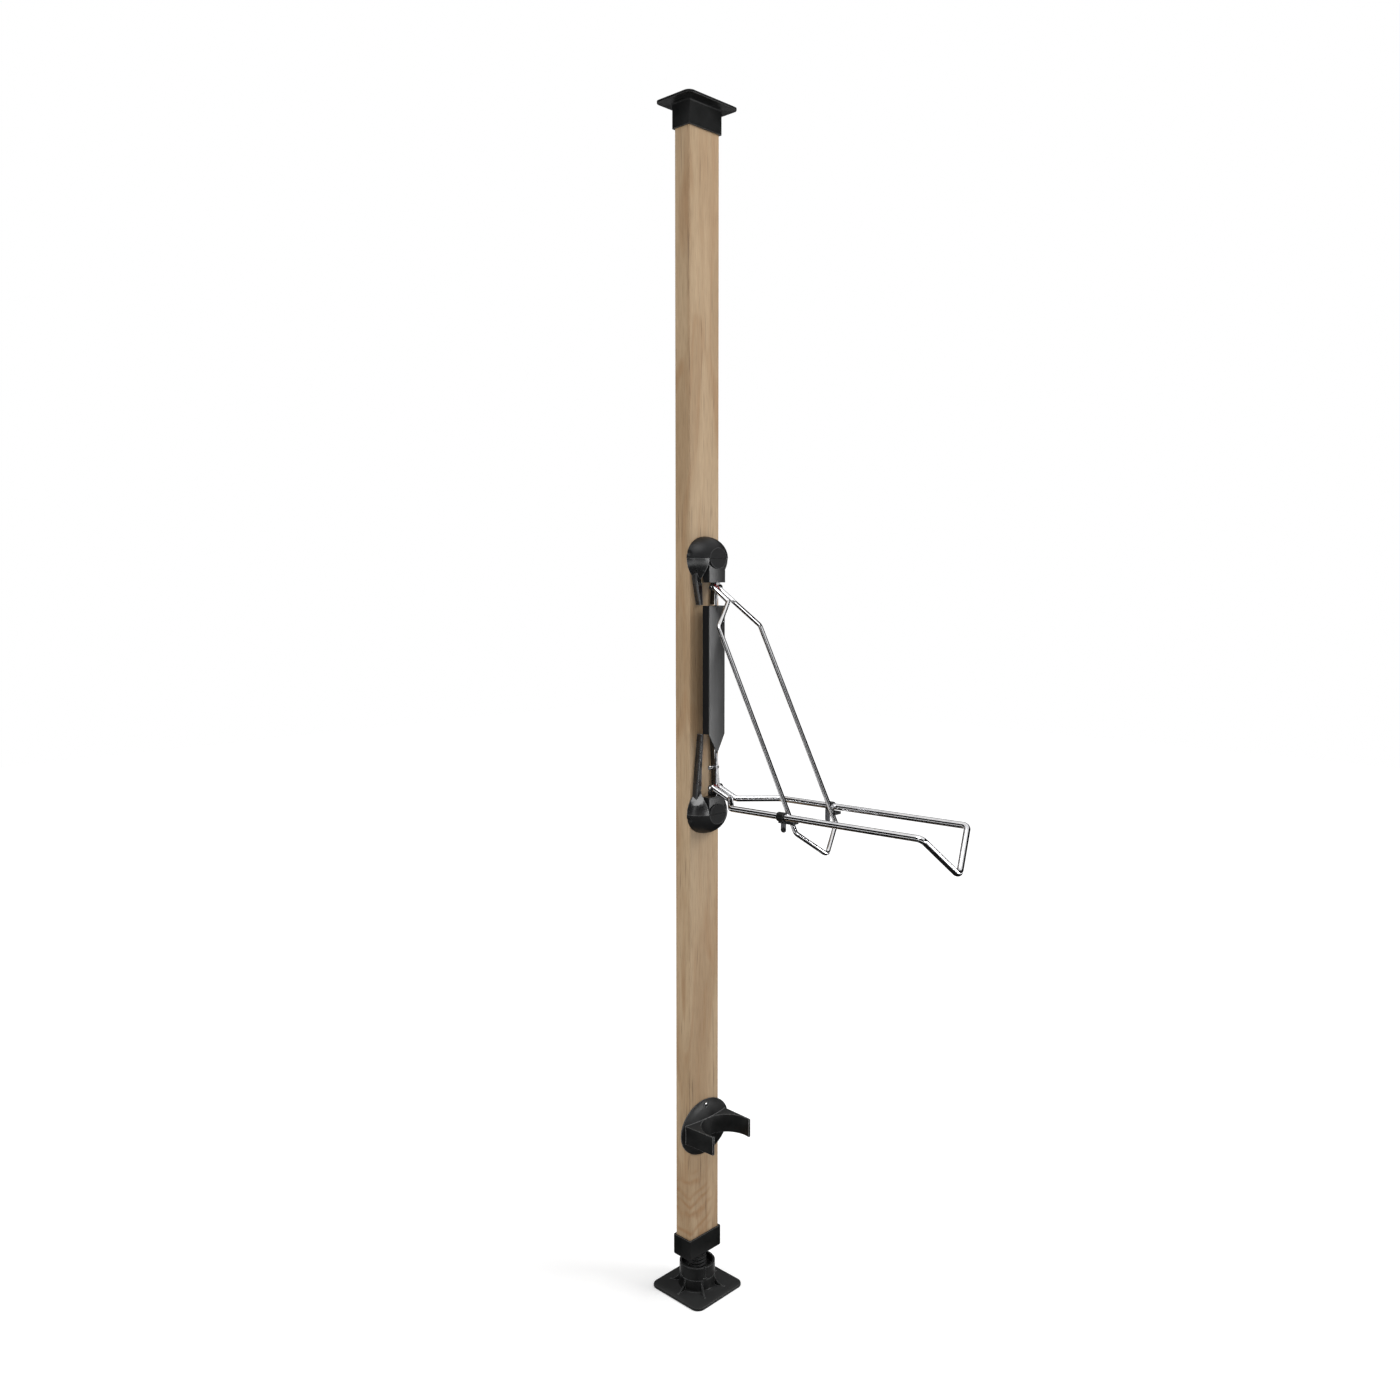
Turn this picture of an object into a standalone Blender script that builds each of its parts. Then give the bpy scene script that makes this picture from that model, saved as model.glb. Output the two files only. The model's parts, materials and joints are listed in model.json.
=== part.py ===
# Timber pole jacked between floor and ceiling, with a folding two-arm bike rack and a wheel rest.
# Metres, +Z up. The origin lies on the floor on the pole's axis, and the rack faces -Y.
import math

import bmesh
import bpy
from mathutils import Matrix, Vector

for old in list(bpy.data.objects):
    bpy.data.objects.remove(old, do_unlink=True)

mm = 0.001

# Clearances, and how far a cutter or a joined shape runs past a face
seat_gap = 0.3 * mm
cover_step = 0.6 * mm
overrun = 1.0 * mm
far = 300.0 * mm
same = 0.001 * mm

# Facets round a full turn
large_round = 32
small_round = 14

# Pole and the two sockets that hold its ends
post_width = 90.0 * mm
post_depth = 43.0 * mm
post_edge_radius = 2.5 * mm
socket_wall = 3.7 * mm
socket_floor = 5.0 * mm
socket_base_height = 82.9 * mm
socket_height = 45.6 * mm
socket_bottom_radius = 4.0 * mm
socket_corner_radius = 2.0 * mm
ceiling_height = 2558.2 * mm
cap_plate_width = 150.4 * mm
cap_plate_depth = 101.2 * mm
cap_plate_thickness = 5.0 * mm
cap_plate_radius = 13.0 * mm
cap_plate_bevel = 1.2 * mm
cap_collar_height = 50.4 * mm
cap_fillet = 4.0 * mm

# Foot with its screw jack
foot_width = 148.3 * mm
foot_thickness = 6.0 * mm
foot_corner_radius = 18.0 * mm
foot_rim_bevel = 2.5 * mm
boss_radius = 39.5 * mm
boss_top = 31.8 * mm
boss_fillet = 5.0 * mm
boss_floor = 8.0 * mm
gusset_count = 6
gusset_reach = 23.0 * mm
gusset_thickness = 3.0 * mm
gusset_toe = 0.4 * mm
nut_height = 27.9 * mm
nut_web_height = 12.0 * mm
nut_wall = 4.5 * mm
nut_slot_count = 4
nut_slot_width = 3.0 * mm
nut_slot_foot = 5.0 * mm
nut_slot_angle = math.radians(249)
nut_lug_size = 8.0 * mm
nut_lug_proud = 2.0 * mm
nut_lug_bevel = 1.6 * mm
stem_radius = 20.5 * mm
stem_chamfer = 1.5 * mm
stem_engaged = 3.8 * mm
spigot_radius = 12.0 * mm
spigot_height = 4.8 * mm

# The two arm pivots, from which the rack's other heights are counted
upper_pivot_height = 1556.0 * mm
lower_pivot_height = 1130.0 * mm
pivot_out = 33.0 * mm
pin_radius = 3.0 * mm
pin_end_reach = 0.7 * mm
pin_chamfer = 0.8 * mm

# Two domed heads, mirror images of each other, on the pole's front face
upper_head_above_pivot = 61.0 * mm
lower_head_below_pivot = 57.3 * mm
dome_half_width = 55.0 * mm
dome_half_depth = 46.0 * mm
dome_half_height = 46.5 * mm
dome_wall = 3.0 * mm
dent_radius = 10.0 * mm
dent_across = 59.0 * mm
dent_out = 7.0 * mm
dent_above = 12.5 * mm
cup_roundness = 52.5 * mm
cup_depth = 44.0 * mm
cup_lip_height = 1.5 * mm
cup_lip_wall = 1.4 * mm
plate_half_width = 34.0 * mm
plate_above = 30.0 * mm
plate_below = 25.0 * mm
plate_thickness = 4.0 * mm
plate_corner_radius = 10.0 * mm
pocket_half_web = 12.0 * mm
pocket_past_cup = 8.0 * mm
lug_radius = 9.0 * mm
lug_thickness = 8.3 * mm

# Flat shoulder on each side of a cup: a point on it, and how steeply it falls away
shoulder_across = 30.0 * mm
shoulder_out = 12.0 * mm
shoulder_along = 39.9 * mm
shoulder_fall_side = 1.04
shoulder_fall_front = 0.573
shoulder_crease = math.radians(15)

# Legs that run along the pole from the cups
leg_start = 24.0 * mm
leg_side_depth = 11.0 * mm
leg_ridge_depth = 13.5 * mm
leg_ridge_inset = 1.5 * mm
leg_inner_depth = 12.5 * mm

# Swivelling unit: two pivot blocks, the rail channel and the spine bar that joins them
swivel_pin_radius = 5.0 * mm
swivel_pin_reach = 22.0 * mm
swivel_head_radius = 7.5 * mm
swivel_head_height = 2.5 * mm
swivel_head_chamfer = 1.0 * mm
unit_half_width = 24.7 * mm
unit_depth = 19.6 * mm
unit_sweep_clearance = 0.8 * mm
unit_edge = 1.5 * mm
disc_proud = 2.6 * mm
disc_half_width = 25.6 * mm
disc_half_height = 21.7 * mm
upper_block_above_pivot = 10.0 * mm
lower_block_below_pivot = 20.0 * mm
rail_top_below_pivot = 39.0 * mm
rail_side_above_pivot = 115.0 * mm
rail_point_drop = 42.0 * mm
rail_wall = 3.0 * mm
rail_crown = 1.2 * mm
rail_rib_half_width = 6.0 * mm
rail_rib_depth = 8.6 * mm
spine_half_width = 1.5 * mm
spine_depth = 3.5 * mm
spine_ahead_of_pivot = 3.0 * mm
spine_cover = 2.1 * mm
spine_in_block = 11.0 * mm
eye_wall = 1.8 * mm
eye_half_width = 1.7 * mm

# Cross bolt behind the lower window
bolt_radius = 3.5 * mm
bolt_above_pivot = 42.0 * mm
bolt_left = 15.2 * mm
bolt_right = 13.8 * mm
bolt_head_radius = 4.6 * mm
bolt_head_height = 2.4 * mm
bolt_chamfer = 0.6 * mm

# Bushes and washers beside each arm pivot
bush_radius = 6.3 * mm
bush_thickness = 2.2 * mm
bush_edge = 0.6 * mm
washer_radius = 5.6 * mm
washer_edge = 0.15 * mm
lower_washer_thickness = 0.4 * mm
upper_washer_thickness = 0.9 * mm

# Lower arm: a bent round bar, from its pivot out to its drooped tip
lower_bar_radius = 6.3 * mm
lower_bend_radius = 13.0 * mm
lower_splay_start_out = 83.6 * mm
lower_splay_start_drop = 19.6 * mm
lower_rail_across = 76.6 * mm
lower_rail_start_out = 147.5 * mm
lower_rail_start_drop = 19.9 * mm
lower_rail_end_out = 601.0 * mm
lower_rail_end_drop = 11.9 * mm
lower_tip_out = 631.4 * mm
lower_tip_drop = 86.4 * mm

# Upper arm: its legs come down inside the lower arm's side bars
upper_bar_radius = 4.8 * mm
upper_bend_radius = 11.0 * mm
arm_side_gap = 1.43 * mm
upper_splay_start_out = 76.0 * mm
upper_splay_start_drop = 29.1 * mm
upper_leg_start_out = 101.2 * mm
upper_leg_start_drop = 80.6 * mm
upper_leg_end_out = 306.0 * mm
upper_leg_end_below = 48.5 * mm
upper_tip_out = 333.1 * mm
upper_tip_below = 97.2 * mm
tip_bend_radius = 12.0 * mm

# Clips on the lower arm's side bars, each with a peg that the upper arm's leg rests on
clip_length = 16.0 * mm
clip_behind_leg = 8.7 * mm
clip_wall = 2.7 * mm
clip_opening = math.radians(48)
clip_foot_width = 6.4 * mm
clip_foot_drop = 3.7 * mm
clip_foot_overlap = 2.3 * mm
clip_arm_step = 2.0 * mm
clip_arm_above_peg = 2.9 * mm
peg_radius = 3.6 * mm
peg_drop = 0.9 * mm
peg_leg_gap = 0.6 * mm
peg_past_leg = 0.3 * mm
tab_leg_gap = 0.43 * mm
tab_thickness = 2.0 * mm
tab_width = 12.0 * mm
tab_behind_clip = 1.0 * mm
tab_length = 24.2 * mm
pad_radius = 4.5 * mm
pad_thickness = 3.0 * mm
pad_edge = 1.0 * mm
pad_above_end = 6.0 * mm

# Wheel rest
rest_height = 373.5 * mm
rest_half_width = 74.3 * mm
rest_half_height = 59.9 * mm
rest_edge = 3.4 * mm
rest_edge_round = 1.0 * mm
rest_crown = 9.0 * mm
rest_rim_share = 0.985
cradle_drop = 18.9 * mm
cradle_rise = 21.5 * mm
cradle_root_out = 3.0 * mm
cradle_tip_out = 82.0 * mm
cradle_bevel = 1.2 * mm
bite_radius = 56.5 * mm
bite_out = 68.0 * mm
fork_root_wall = 7.0 * mm
fork_tip_wall = 3.5 * mm
rest_screw_from_edge = 9.4 * mm
rest_counterbore_radius = 5.6 * mm
rest_screw_head_out = 5.0 * mm

# Wood screws
screw_radius = 2.4 * mm
screw_length = 34.0 * mm
screw_head_radius = 4.5 * mm
screw_head_height = 2.8 * mm
screw_crown_radius = 2.5 * mm
screw_shoulder_radius = 4.0 * mm
screw_shoulder_height = 2.0 * mm
screw_rim_height = 0.7 * mm
screw_tip_taper = 7.2 * mm
screw_across = 24.0 * mm
screw_above = 16.0 * mm

# Pole and jack, worked out from the values above
front = -post_depth / 2
socket_width = post_width + 2 * seat_gap + 2 * socket_wall
socket_depth = post_depth + 2 * seat_gap + 2 * socket_wall
post_bottom = socket_base_height + socket_floor + seat_gap
post_top = ceiling_height - cap_plate_thickness - seat_gap
nut_bottom = boss_top + seat_gap
stem_bore = stem_radius + seat_gap
stem_bottom = nut_bottom - stem_engaged
stem_top = socket_base_height - seat_gap

# Rack, worked out from the values above
upper_head_height = upper_pivot_height + upper_head_above_pivot
lower_head_height = lower_pivot_height - lower_head_below_pivot
upper_block_end = upper_pivot_height + upper_block_above_pivot
lower_block_end = lower_pivot_height - lower_block_below_pivot
rail_top = upper_pivot_height - rail_top_below_pivot
rail_side_end = lower_pivot_height + rail_side_above_pivot
rail_point = rail_side_end - rail_point_drop
bolt_height = lower_pivot_height + bolt_above_pivot
spine_front = pivot_out + spine_ahead_of_pivot
spine_back = spine_front - spine_depth
unit_front = spine_front + spine_cover
unit_back = unit_front - unit_depth
swivel_out = unit_front - unit_depth / 2
dome_flat = unit_front + disc_proud
block_start = 2 * seat_gap
pocket_radius = math.hypot(unit_half_width, dome_flat - swivel_out) + unit_sweep_clearance
pin_bore = pin_radius + seat_gap
unit_pin_bore = swivel_pin_radius + seat_gap
screw_bore = screw_radius + seat_gap

# Arms and clips, worked out from the values above
washer_start = eye_half_width + seat_gap
lower_bar_inner = washer_start + lower_washer_thickness + seat_gap
upper_bar_inner = washer_start + upper_washer_thickness + seat_gap
lower_bar_root = lower_bar_inner + lower_bar_radius
upper_bar_root = upper_bar_inner + upper_bar_radius
upper_leg_across = lower_rail_across - lower_bar_radius - arm_side_gap - upper_bar_radius
upper_leg_end_drop = upper_pivot_height - lower_pivot_height + upper_leg_end_below
upper_tip_drop = upper_pivot_height - lower_pivot_height + upper_tip_below
upper_leg_slope = (upper_leg_end_out - upper_leg_start_out) / (upper_leg_end_drop - upper_leg_start_drop)
clip_bore = lower_bar_radius + seat_gap
clip_radius = clip_bore + clip_wall
tab_inner = upper_leg_across + upper_bar_radius + tab_leg_gap
tab_outer = tab_inner + tab_thickness
clip_foot_inner = tab_outer + seat_gap

# Wheel rest, worked out from the values above
cradle_bottom = rest_height - cradle_drop
cradle_top = rest_height + cradle_rise
cradle_root_half_width = bite_radius + fork_root_wall
cradle_tip_half_width = bite_radius + fork_tip_wall
rest_screw_rise = rest_half_height - rest_screw_from_edge


def material(name, colour, roughness, metallic=0.0):
    look = bpy.data.materials.new(name)
    look.use_nodes = True
    shader = look.node_tree.nodes["Principled BSDF"]
    shader.inputs["Base Color"].default_value = (*colour, 1.0)
    shader.inputs["Roughness"].default_value = roughness
    shader.inputs["Metallic"].default_value = metallic
    look.diffuse_color = (*colour, 1.0)
    return look


wood = material("planed_timber", (0.38, 0.27, 0.17), 0.6)
black_plastic = material("black_plastic", (0.012, 0.012, 0.013), 0.42)
black_casting = material("black_casting", (0.016, 0.016, 0.018), 0.3)
dark_cover = material("dark_cover", (0.03, 0.031, 0.034), 0.45)
chrome = material("chromed_steel", (0.78, 0.78, 0.79), 0.12, 1.0)
dark_steel = material("dark_steel", (0.18, 0.18, 0.19), 0.35, 1.0)
red_plastic = material("red_plastic", (0.45, 0.02, 0.02), 0.4)


def raw_object(mesh_builder):
    mesh_builder.normal_update()
    bmesh.ops.recalc_face_normals(mesh_builder, faces=mesh_builder.faces)
    mesh = bpy.data.meshes.new("shape")
    mesh_builder.to_mesh(mesh)
    mesh_builder.free()
    shape = bpy.data.objects.new("shape", mesh)
    bpy.context.scene.collection.objects.link(shape)
    return shape


def combine(target, tool, operation):
    step = target.modifiers.new("step", "BOOLEAN")
    step.operation = operation
    step.solver = "EXACT"
    step.object = tool
    evaluated = target.evaluated_get(bpy.context.evaluated_depsgraph_get())
    mesh = bpy.data.meshes.new_from_object(evaluated)
    target.modifiers.clear()
    target.data = mesh
    bpy.data.objects.remove(tool, do_unlink=True)
    return target


def cut(target, *tools):
    for tool in tools:
        combine(target, tool, "DIFFERENCE")
    return target


def join(target, *tools):
    for tool in tools:
        combine(target, tool, "UNION")
    return target


def keep_inside(target, tool):
    return combine(target, tool, "INTERSECT")


def finish(shape, name, look, crease=math.radians(32)):
    shape.name = name
    shape.data.name = name
    shape.data.materials.clear()
    shape.data.materials.append(look)
    for face in shape.data.polygons:
        face.material_index = 0
    shape.data.shade_smooth()
    shape.data.set_sharp_from_angle(angle=crease)
    return shape


def set_origin(shape, point):
    offset = Vector(point)
    shape.data.transform(Matrix.Translation(-offset))
    shape.location = offset
    return shape


def prism(outline, plane, low, high):
    # An outline in the XY, XZ or YZ plane, drawn out along the third axis.
    places = {
        "XY": lambda a, b, c: (a, b, c),
        "XZ": lambda a, b, c: (a, c, b),
        "YZ": lambda a, b, c: (c, a, b),
    }
    place = places[plane]
    builder = bmesh.new()
    base = [builder.verts.new(place(a, b, low)) for a, b in outline]
    face = builder.faces.new(base)
    drawn = bmesh.ops.extrude_face_region(builder, geom=[face])
    moved = [item for item in drawn["geom"] if isinstance(item, bmesh.types.BMVert)]
    travel = Vector(place(0.0, 0.0, high - low))
    bmesh.ops.translate(builder, verts=moved, vec=travel)
    return raw_object(builder)


def block(x_range, y_range, z_range):
    outline = [
        (x_range[0], y_range[0]),
        (x_range[1], y_range[0]),
        (x_range[1], y_range[1]),
        (x_range[0], y_range[1]),
    ]
    return prism(outline, "XY", z_range[0], z_range[1])


def bevel_edges(shape, width, segments, chosen):
    builder = bmesh.new()
    builder.from_mesh(shape.data)
    builder.edges.ensure_lookup_table()
    edges = [edge for edge in builder.edges if chosen(edge.verts[0].co, edge.verts[1].co)]
    bmesh.ops.bevel(builder, geom=edges, offset=width, segments=segments, profile=0.5,
                    affect="EDGES", material=-1)
    builder.to_mesh(shape.data)
    builder.free()
    return shape


def rounded_rectangle(width, height, radius, steps=6, centre=(0.0, 0.0)):
    outline = []
    for corner in range(4):
        start = math.pi / 2 * corner
        side_x = 1 if corner in (0, 3) else -1
        side_y = 1 if corner in (0, 1) else -1
        middle_x = centre[0] + side_x * (width / 2 - radius)
        middle_y = centre[1] + side_y * (height / 2 - radius)
        for step in range(steps + 1):
            angle = start + math.pi / 2 * step / steps
            outline.append((middle_x + radius * math.cos(angle), middle_y + radius * math.sin(angle)))
    return outline


def revolve(profile, centre, axis="Z", steps=small_round, ring=False):
    # Turns (radius, height) points about an axis; a ring profile closes on itself.
    turns = {
        "Z": Matrix.Identity(4),
        "X": Matrix.Rotation(math.pi / 2, 4, "Y"),
        "Y": Matrix.Rotation(-math.pi / 2, 4, "X"),
    }
    builder = bmesh.new()
    loops = []
    for radius, height in profile:
        if radius < same:
            loops.append([builder.verts.new((0.0, 0.0, height))])
            continue
        loop = []
        for step in range(steps):
            angle = 2 * math.pi * step / steps
            loop.append(builder.verts.new((radius * math.cos(angle), radius * math.sin(angle), height)))
        loops.append(loop)
    pairs = list(zip(loops, loops[1:]))
    if ring:
        pairs.append((loops[-1], loops[0]))
    for first, second in pairs:
        for step in range(steps):
            after = (step + 1) % steps
            if len(first) == 1:
                builder.faces.new((first[0], second[step], second[after]))
            elif len(second) == 1:
                builder.faces.new((first[step], first[after], second[0]))
            else:
                builder.faces.new((first[step], first[after], second[after], second[step]))
    shift = Matrix.Translation(Vector(centre)) @ turns[axis]
    bmesh.ops.transform(builder, matrix=shift, verts=builder.verts)
    return raw_object(builder)


def cylinder(radius, low, high, centre, axis="Z", steps=small_round):
    profile = [(0.0, low), (radius, low), (radius, high), (0.0, high)]
    return revolve(profile, centre, axis, steps)


def ellipsoid(half_x, half_y, half_z, centre, steps=large_round):
    profile = []
    rings = steps // 2
    for step in range(rings + 1):
        angle = math.pi * step / rings
        profile.append((abs(math.sin(angle)), -math.cos(angle)))
    profile[0] = (0.0, -1.0)
    profile[-1] = (0.0, 1.0)
    shape = revolve(profile, (0.0, 0.0, 0.0), "Z", steps)
    scale = Matrix.Diagonal((half_x, half_y, half_z, 1.0))
    shape.data.transform(Matrix.Translation(Vector(centre)) @ scale)
    return shape


def rounded_path(points, radii, steps=4):
    # Straight runs joined by arcs; the first and last points stay as they are.
    path = [Vector(points[0])]
    for before, corner, after, radius in zip(points, points[1:], points[2:], radii):
        corner = Vector(corner)
        back = (Vector(before) - corner).normalized()
        ahead = (Vector(after) - corner).normalized()
        turn = math.pi - back.angle(ahead)
        setback = radius * math.tan(turn / 2)
        middle = corner + (back + ahead).normalized() * (radius / math.cos(turn / 2))
        spoke = corner + back * setback - middle
        normal = back.cross(ahead).normalized()
        for step in range(steps + 1):
            spin = Matrix.Rotation(-turn * step / steps, 3, normal)
            path.append(middle + spin @ spoke)
    path.append(Vector(points[-1]))
    return path


def bent_bar(path, radius, sides=10, dome_steps=2):
    # A round bar swept along the path, with domed ends centred on its first and last points.
    start_way = (path[0] - path[1]).normalized()
    end_way = (path[-1] - path[-2]).normalized()
    stations = []
    for step in range(dome_steps):
        angle = math.pi / 2 * (1 - step / dome_steps)
        stations.append((path[0] + start_way * radius * math.sin(angle), radius * math.cos(angle)))
    stations += [(point, radius) for point in path]
    for step in range(dome_steps):
        angle = math.pi / 2 * (step + 1) / dome_steps
        stations.append((path[-1] + end_way * radius * math.sin(angle), radius * math.cos(angle)))
    builder = bmesh.new()
    side = Vector((1.0, 0.0, 0.0))
    loops = []
    for number, (point, size) in enumerate(stations):
        before = stations[max(number - 1, 0)][0]
        after = stations[min(number + 1, len(stations) - 1)][0]
        way = ((point - before).normalized() + (after - point).normalized()).normalized()
        side = (side - way * side.dot(way)).normalized()
        up = way.cross(side)
        if size < same:
            loops.append([builder.verts.new(point)])
            continue
        loop = []
        for step in range(sides):
            angle = 2 * math.pi * step / sides
            loop.append(builder.verts.new(point + size * (side * math.cos(angle) + up * math.sin(angle))))
        loops.append(loop)
    for first, second in zip(loops, loops[1:]):
        for step in range(sides):
            nxt = (step + 1) % sides
            if len(first) == 1:
                builder.faces.new((first[0], second[step], second[nxt]))
            elif len(second) == 1:
                builder.faces.new((first[step], first[nxt], second[0]))
            else:
                builder.faces.new((first[step], first[nxt], second[nxt], second[step]))
    return raw_object(builder)


def loft(sections):
    # Joins closed loops of the same number of points, with a face on each end.
    builder = bmesh.new()
    loops = [[builder.verts.new(point) for point in section] for section in sections]
    builder.faces.new(loops[0])
    builder.faces.new(list(reversed(loops[-1])))
    count = len(loops[0])
    for first, second in zip(loops, loops[1:]):
        for step in range(count):
            nxt = (step + 1) % count
            builder.faces.new((first[step], first[nxt], second[nxt], second[step]))
    return raw_object(builder)


def build_post():
    outline = rounded_rectangle(post_width, post_depth, post_edge_radius, 4)
    post = prism(outline, "XY", post_bottom, post_top)
    for across, height in screw_places():
        post = cut(post, screw_hole(across, height))
    finish(post, "timber_post", wood)


def screw_places():
    places = []
    for side in (-1, 1):
        places.append((side * screw_across, upper_head_height + screw_above))
        places.append((side * screw_across, lower_head_height - screw_above))
    places.append((0.0, rest_height + rest_screw_rise))
    places.append((0.0, rest_height - rest_screw_rise))
    return places


def screw_hole(across, height):
    depth = screw_length + seat_gap
    return cylinder(screw_bore, -overrun, depth, (across, front, height), "Y")


def build_screws():
    names = []
    for side in ("left", "right"):
        names.append("upper_screw_" + side)
        names.append("lower_screw_" + side)
    head_out = seat_gap + plate_thickness + seat_gap
    for name, (across, height) in zip(names, screw_places()):
        build_screw(name, across, height, head_out)
    rest_places = screw_places()[4:]
    for name, (across, height) in zip(("rest_screw_top", "rest_screw_bottom"), rest_places):
        build_screw(name, across, height, rest_screw_head_out + seat_gap)


def build_screw(name, across, height, head_out):
    # A pan-head wood screw: the head's underside lies head_out in front of the pole.
    profile = [
        (0.0, -head_out - screw_head_height),
        (screw_crown_radius, -head_out - screw_head_height),
        (screw_shoulder_radius, -head_out - screw_shoulder_height),
        (screw_head_radius, -head_out - screw_rim_height),
        (screw_head_radius, -head_out),
        (screw_radius, -head_out),
        (screw_radius, screw_length - screw_tip_taper),
        (0.0, screw_length),
    ]
    screw = revolve(profile, (across, front, height), "Y")
    finish(screw, name, chrome)


def build_ceiling_cap():
    low = ceiling_height - cap_plate_thickness - cap_collar_height
    under = ceiling_height - cap_plate_thickness
    plate_outline = rounded_rectangle(cap_plate_width, cap_plate_depth, cap_plate_radius, 6)
    cap = prism(plate_outline, "XY", under, ceiling_height)
    bevel_edges(cap, cap_plate_bevel, 2, lambda a, b: abs(a.z - under) < same and abs(b.z - under) < same)
    collar_outline = rounded_rectangle(socket_width, socket_depth, socket_corner_radius, 3)
    collar = prism(collar_outline, "XY", low, under + overrun)
    grown = 2 * cap_fillet
    sections = []
    for step in range(4):
        angle = math.pi / 2 * step / 3
        spread = grown * (1 - math.cos(angle))
        height = under - cap_fillet + cap_fillet * math.sin(angle)
        outline = rounded_rectangle(socket_width + spread, socket_depth + spread,
                                    socket_corner_radius + spread / 2, 3)
        sections.append([(x, y, height) for x, y in outline])
    fillet = loft(sections)
    bore = prism(rounded_rectangle(post_width + 2 * seat_gap, post_depth + 2 * seat_gap,
                                   post_edge_radius, 4), "XY", low - overrun, under)
    join(cap, collar, fillet)
    cut(cap, bore)
    finish(cap, "ceiling_cap", black_plastic)


def build_post_socket():
    top = socket_base_height + socket_height
    low = socket_base_height
    sections = []
    for step in range(5):
        angle = math.pi / 2 * step / 4
        inset = socket_bottom_radius * (1 - math.sin(angle))
        height = low + socket_bottom_radius * (1 - math.cos(angle))
        outline = rounded_rectangle(socket_width - 2 * inset, socket_depth - 2 * inset, socket_corner_radius, 3)
        sections.append([(x, y, height) for x, y in outline])
    sections.append([(x, y, top) for x, y in outline])
    socket = loft(sections)
    bore = prism(rounded_rectangle(post_width + 2 * seat_gap, post_depth + 2 * seat_gap,
                                   post_edge_radius, 4), "XY", low + socket_floor, top + overrun)
    spigot_hole = cylinder(spigot_radius + seat_gap, low - overrun, low + socket_floor + overrun,
                           (0.0, 0.0, 0.0), "Z", large_round)
    cut(socket, bore, spigot_hole)
    finish(socket, "post_socket", black_plastic)


def build_jack():
    stem_profile = [
        (0.0, stem_bottom),
        (stem_radius - stem_chamfer, stem_bottom),
        (stem_radius, stem_bottom + stem_chamfer),
        (stem_radius, stem_top),
        (spigot_radius, stem_top),
        (spigot_radius, stem_top + seat_gap + spigot_height),
        (0.0, stem_top + seat_gap + spigot_height),
    ]
    stem = revolve(stem_profile, (0.0, 0.0, 0.0), "Z", large_round)
    finish(stem, "jack_stem", black_plastic)

    nut_top = nut_bottom + nut_height
    web_top = nut_bottom + nut_web_height
    nut_profile = [
        (stem_bore, nut_bottom),
        (boss_radius, nut_bottom),
        (boss_radius, nut_top),
        (boss_radius - nut_wall, nut_top),
        (boss_radius - nut_wall, web_top),
        (stem_bore, web_top),
    ]
    nut = revolve(nut_profile, (0.0, 0.0, 0.0), "Z", large_round, ring=True)
    for number in range(nut_slot_count):
        turn = nut_slot_angle + 2 * math.pi * number / nut_slot_count
        lug_height = nut_bottom + nut_slot_foot
        lug = block((boss_radius - nut_wall / 2, boss_radius + nut_lug_proud),
                    (-nut_lug_size / 2, nut_lug_size / 2),
                    (nut_bottom, lug_height))
        bevel_edges(lug, nut_lug_bevel, 2,
                    lambda a, b: a.x > boss_radius and b.x > boss_radius
                    and abs(a.z - b.z) > same)
        slot = block((boss_radius - nut_wall - overrun, boss_radius + nut_lug_proud + overrun),
                     (-nut_slot_width / 2, nut_slot_width / 2),
                     (lug_height, nut_top + overrun))
        for tool in (lug, slot):
            tool.data.transform(Matrix.Rotation(turn, 4, "Z"))
        join(nut, lug)
        cut(nut, slot)
    set_origin(nut, (0.0, 0.0, nut_bottom))
    finish(nut, "jack_nut", black_plastic)


def build_foot():
    outline = rounded_rectangle(foot_width, foot_width, foot_corner_radius, 6)
    foot = prism(outline, "XY", 0.0, foot_thickness)
    bevel_edges(foot, foot_rim_bevel, 2,
                lambda a, b: abs(a.z - foot_thickness) < same and abs(b.z - foot_thickness) < same)
    boss_profile = [(0.0, foot_thickness - overrun)]
    boss_profile.append((boss_radius + boss_fillet, foot_thickness - overrun))
    for step in range(5):
        angle = math.pi / 2 * step / 4
        radius = boss_radius + boss_fillet * (1 - math.sin(angle))
        boss_profile.append((radius, foot_thickness + boss_fillet * (1 - math.cos(angle))))
    boss_profile.append((boss_radius, boss_top))
    boss_profile.append((0.0, boss_top))
    boss = revolve(boss_profile, (0.0, 0.0, 0.0), "Z", large_round)
    join(foot, boss)
    rise = boss_top - foot_thickness - overrun
    for number in range(gusset_count):
        web = [
            (boss_radius - 2 * overrun, foot_thickness - overrun),
            (boss_radius + gusset_reach, foot_thickness - overrun),
        ]
        for step in range(6):
            angle = math.pi / 2 * step / 5
            across = boss_radius + gusset_reach * (1 - math.sin(angle))
            web.append((across, foot_thickness + gusset_toe + rise * (1 - math.cos(angle))))
        web.append((boss_radius - 2 * overrun, foot_thickness + rise))
        gusset = prism(web, "XZ", -gusset_thickness / 2, gusset_thickness / 2)
        gusset.data.transform(Matrix.Rotation(2 * math.pi * number / gusset_count, 4, "Z"))
        join(foot, gusset)
    cut(foot, cylinder(stem_bore, boss_floor, boss_top + overrun, (0.0, 0.0, 0.0), "Z", large_round))
    finish(foot, "foot_base", black_plastic)


def head_height(height, along, facing):
    # Heights in a head count from its equator towards the middle of the rack.
    return height - facing * along


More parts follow.
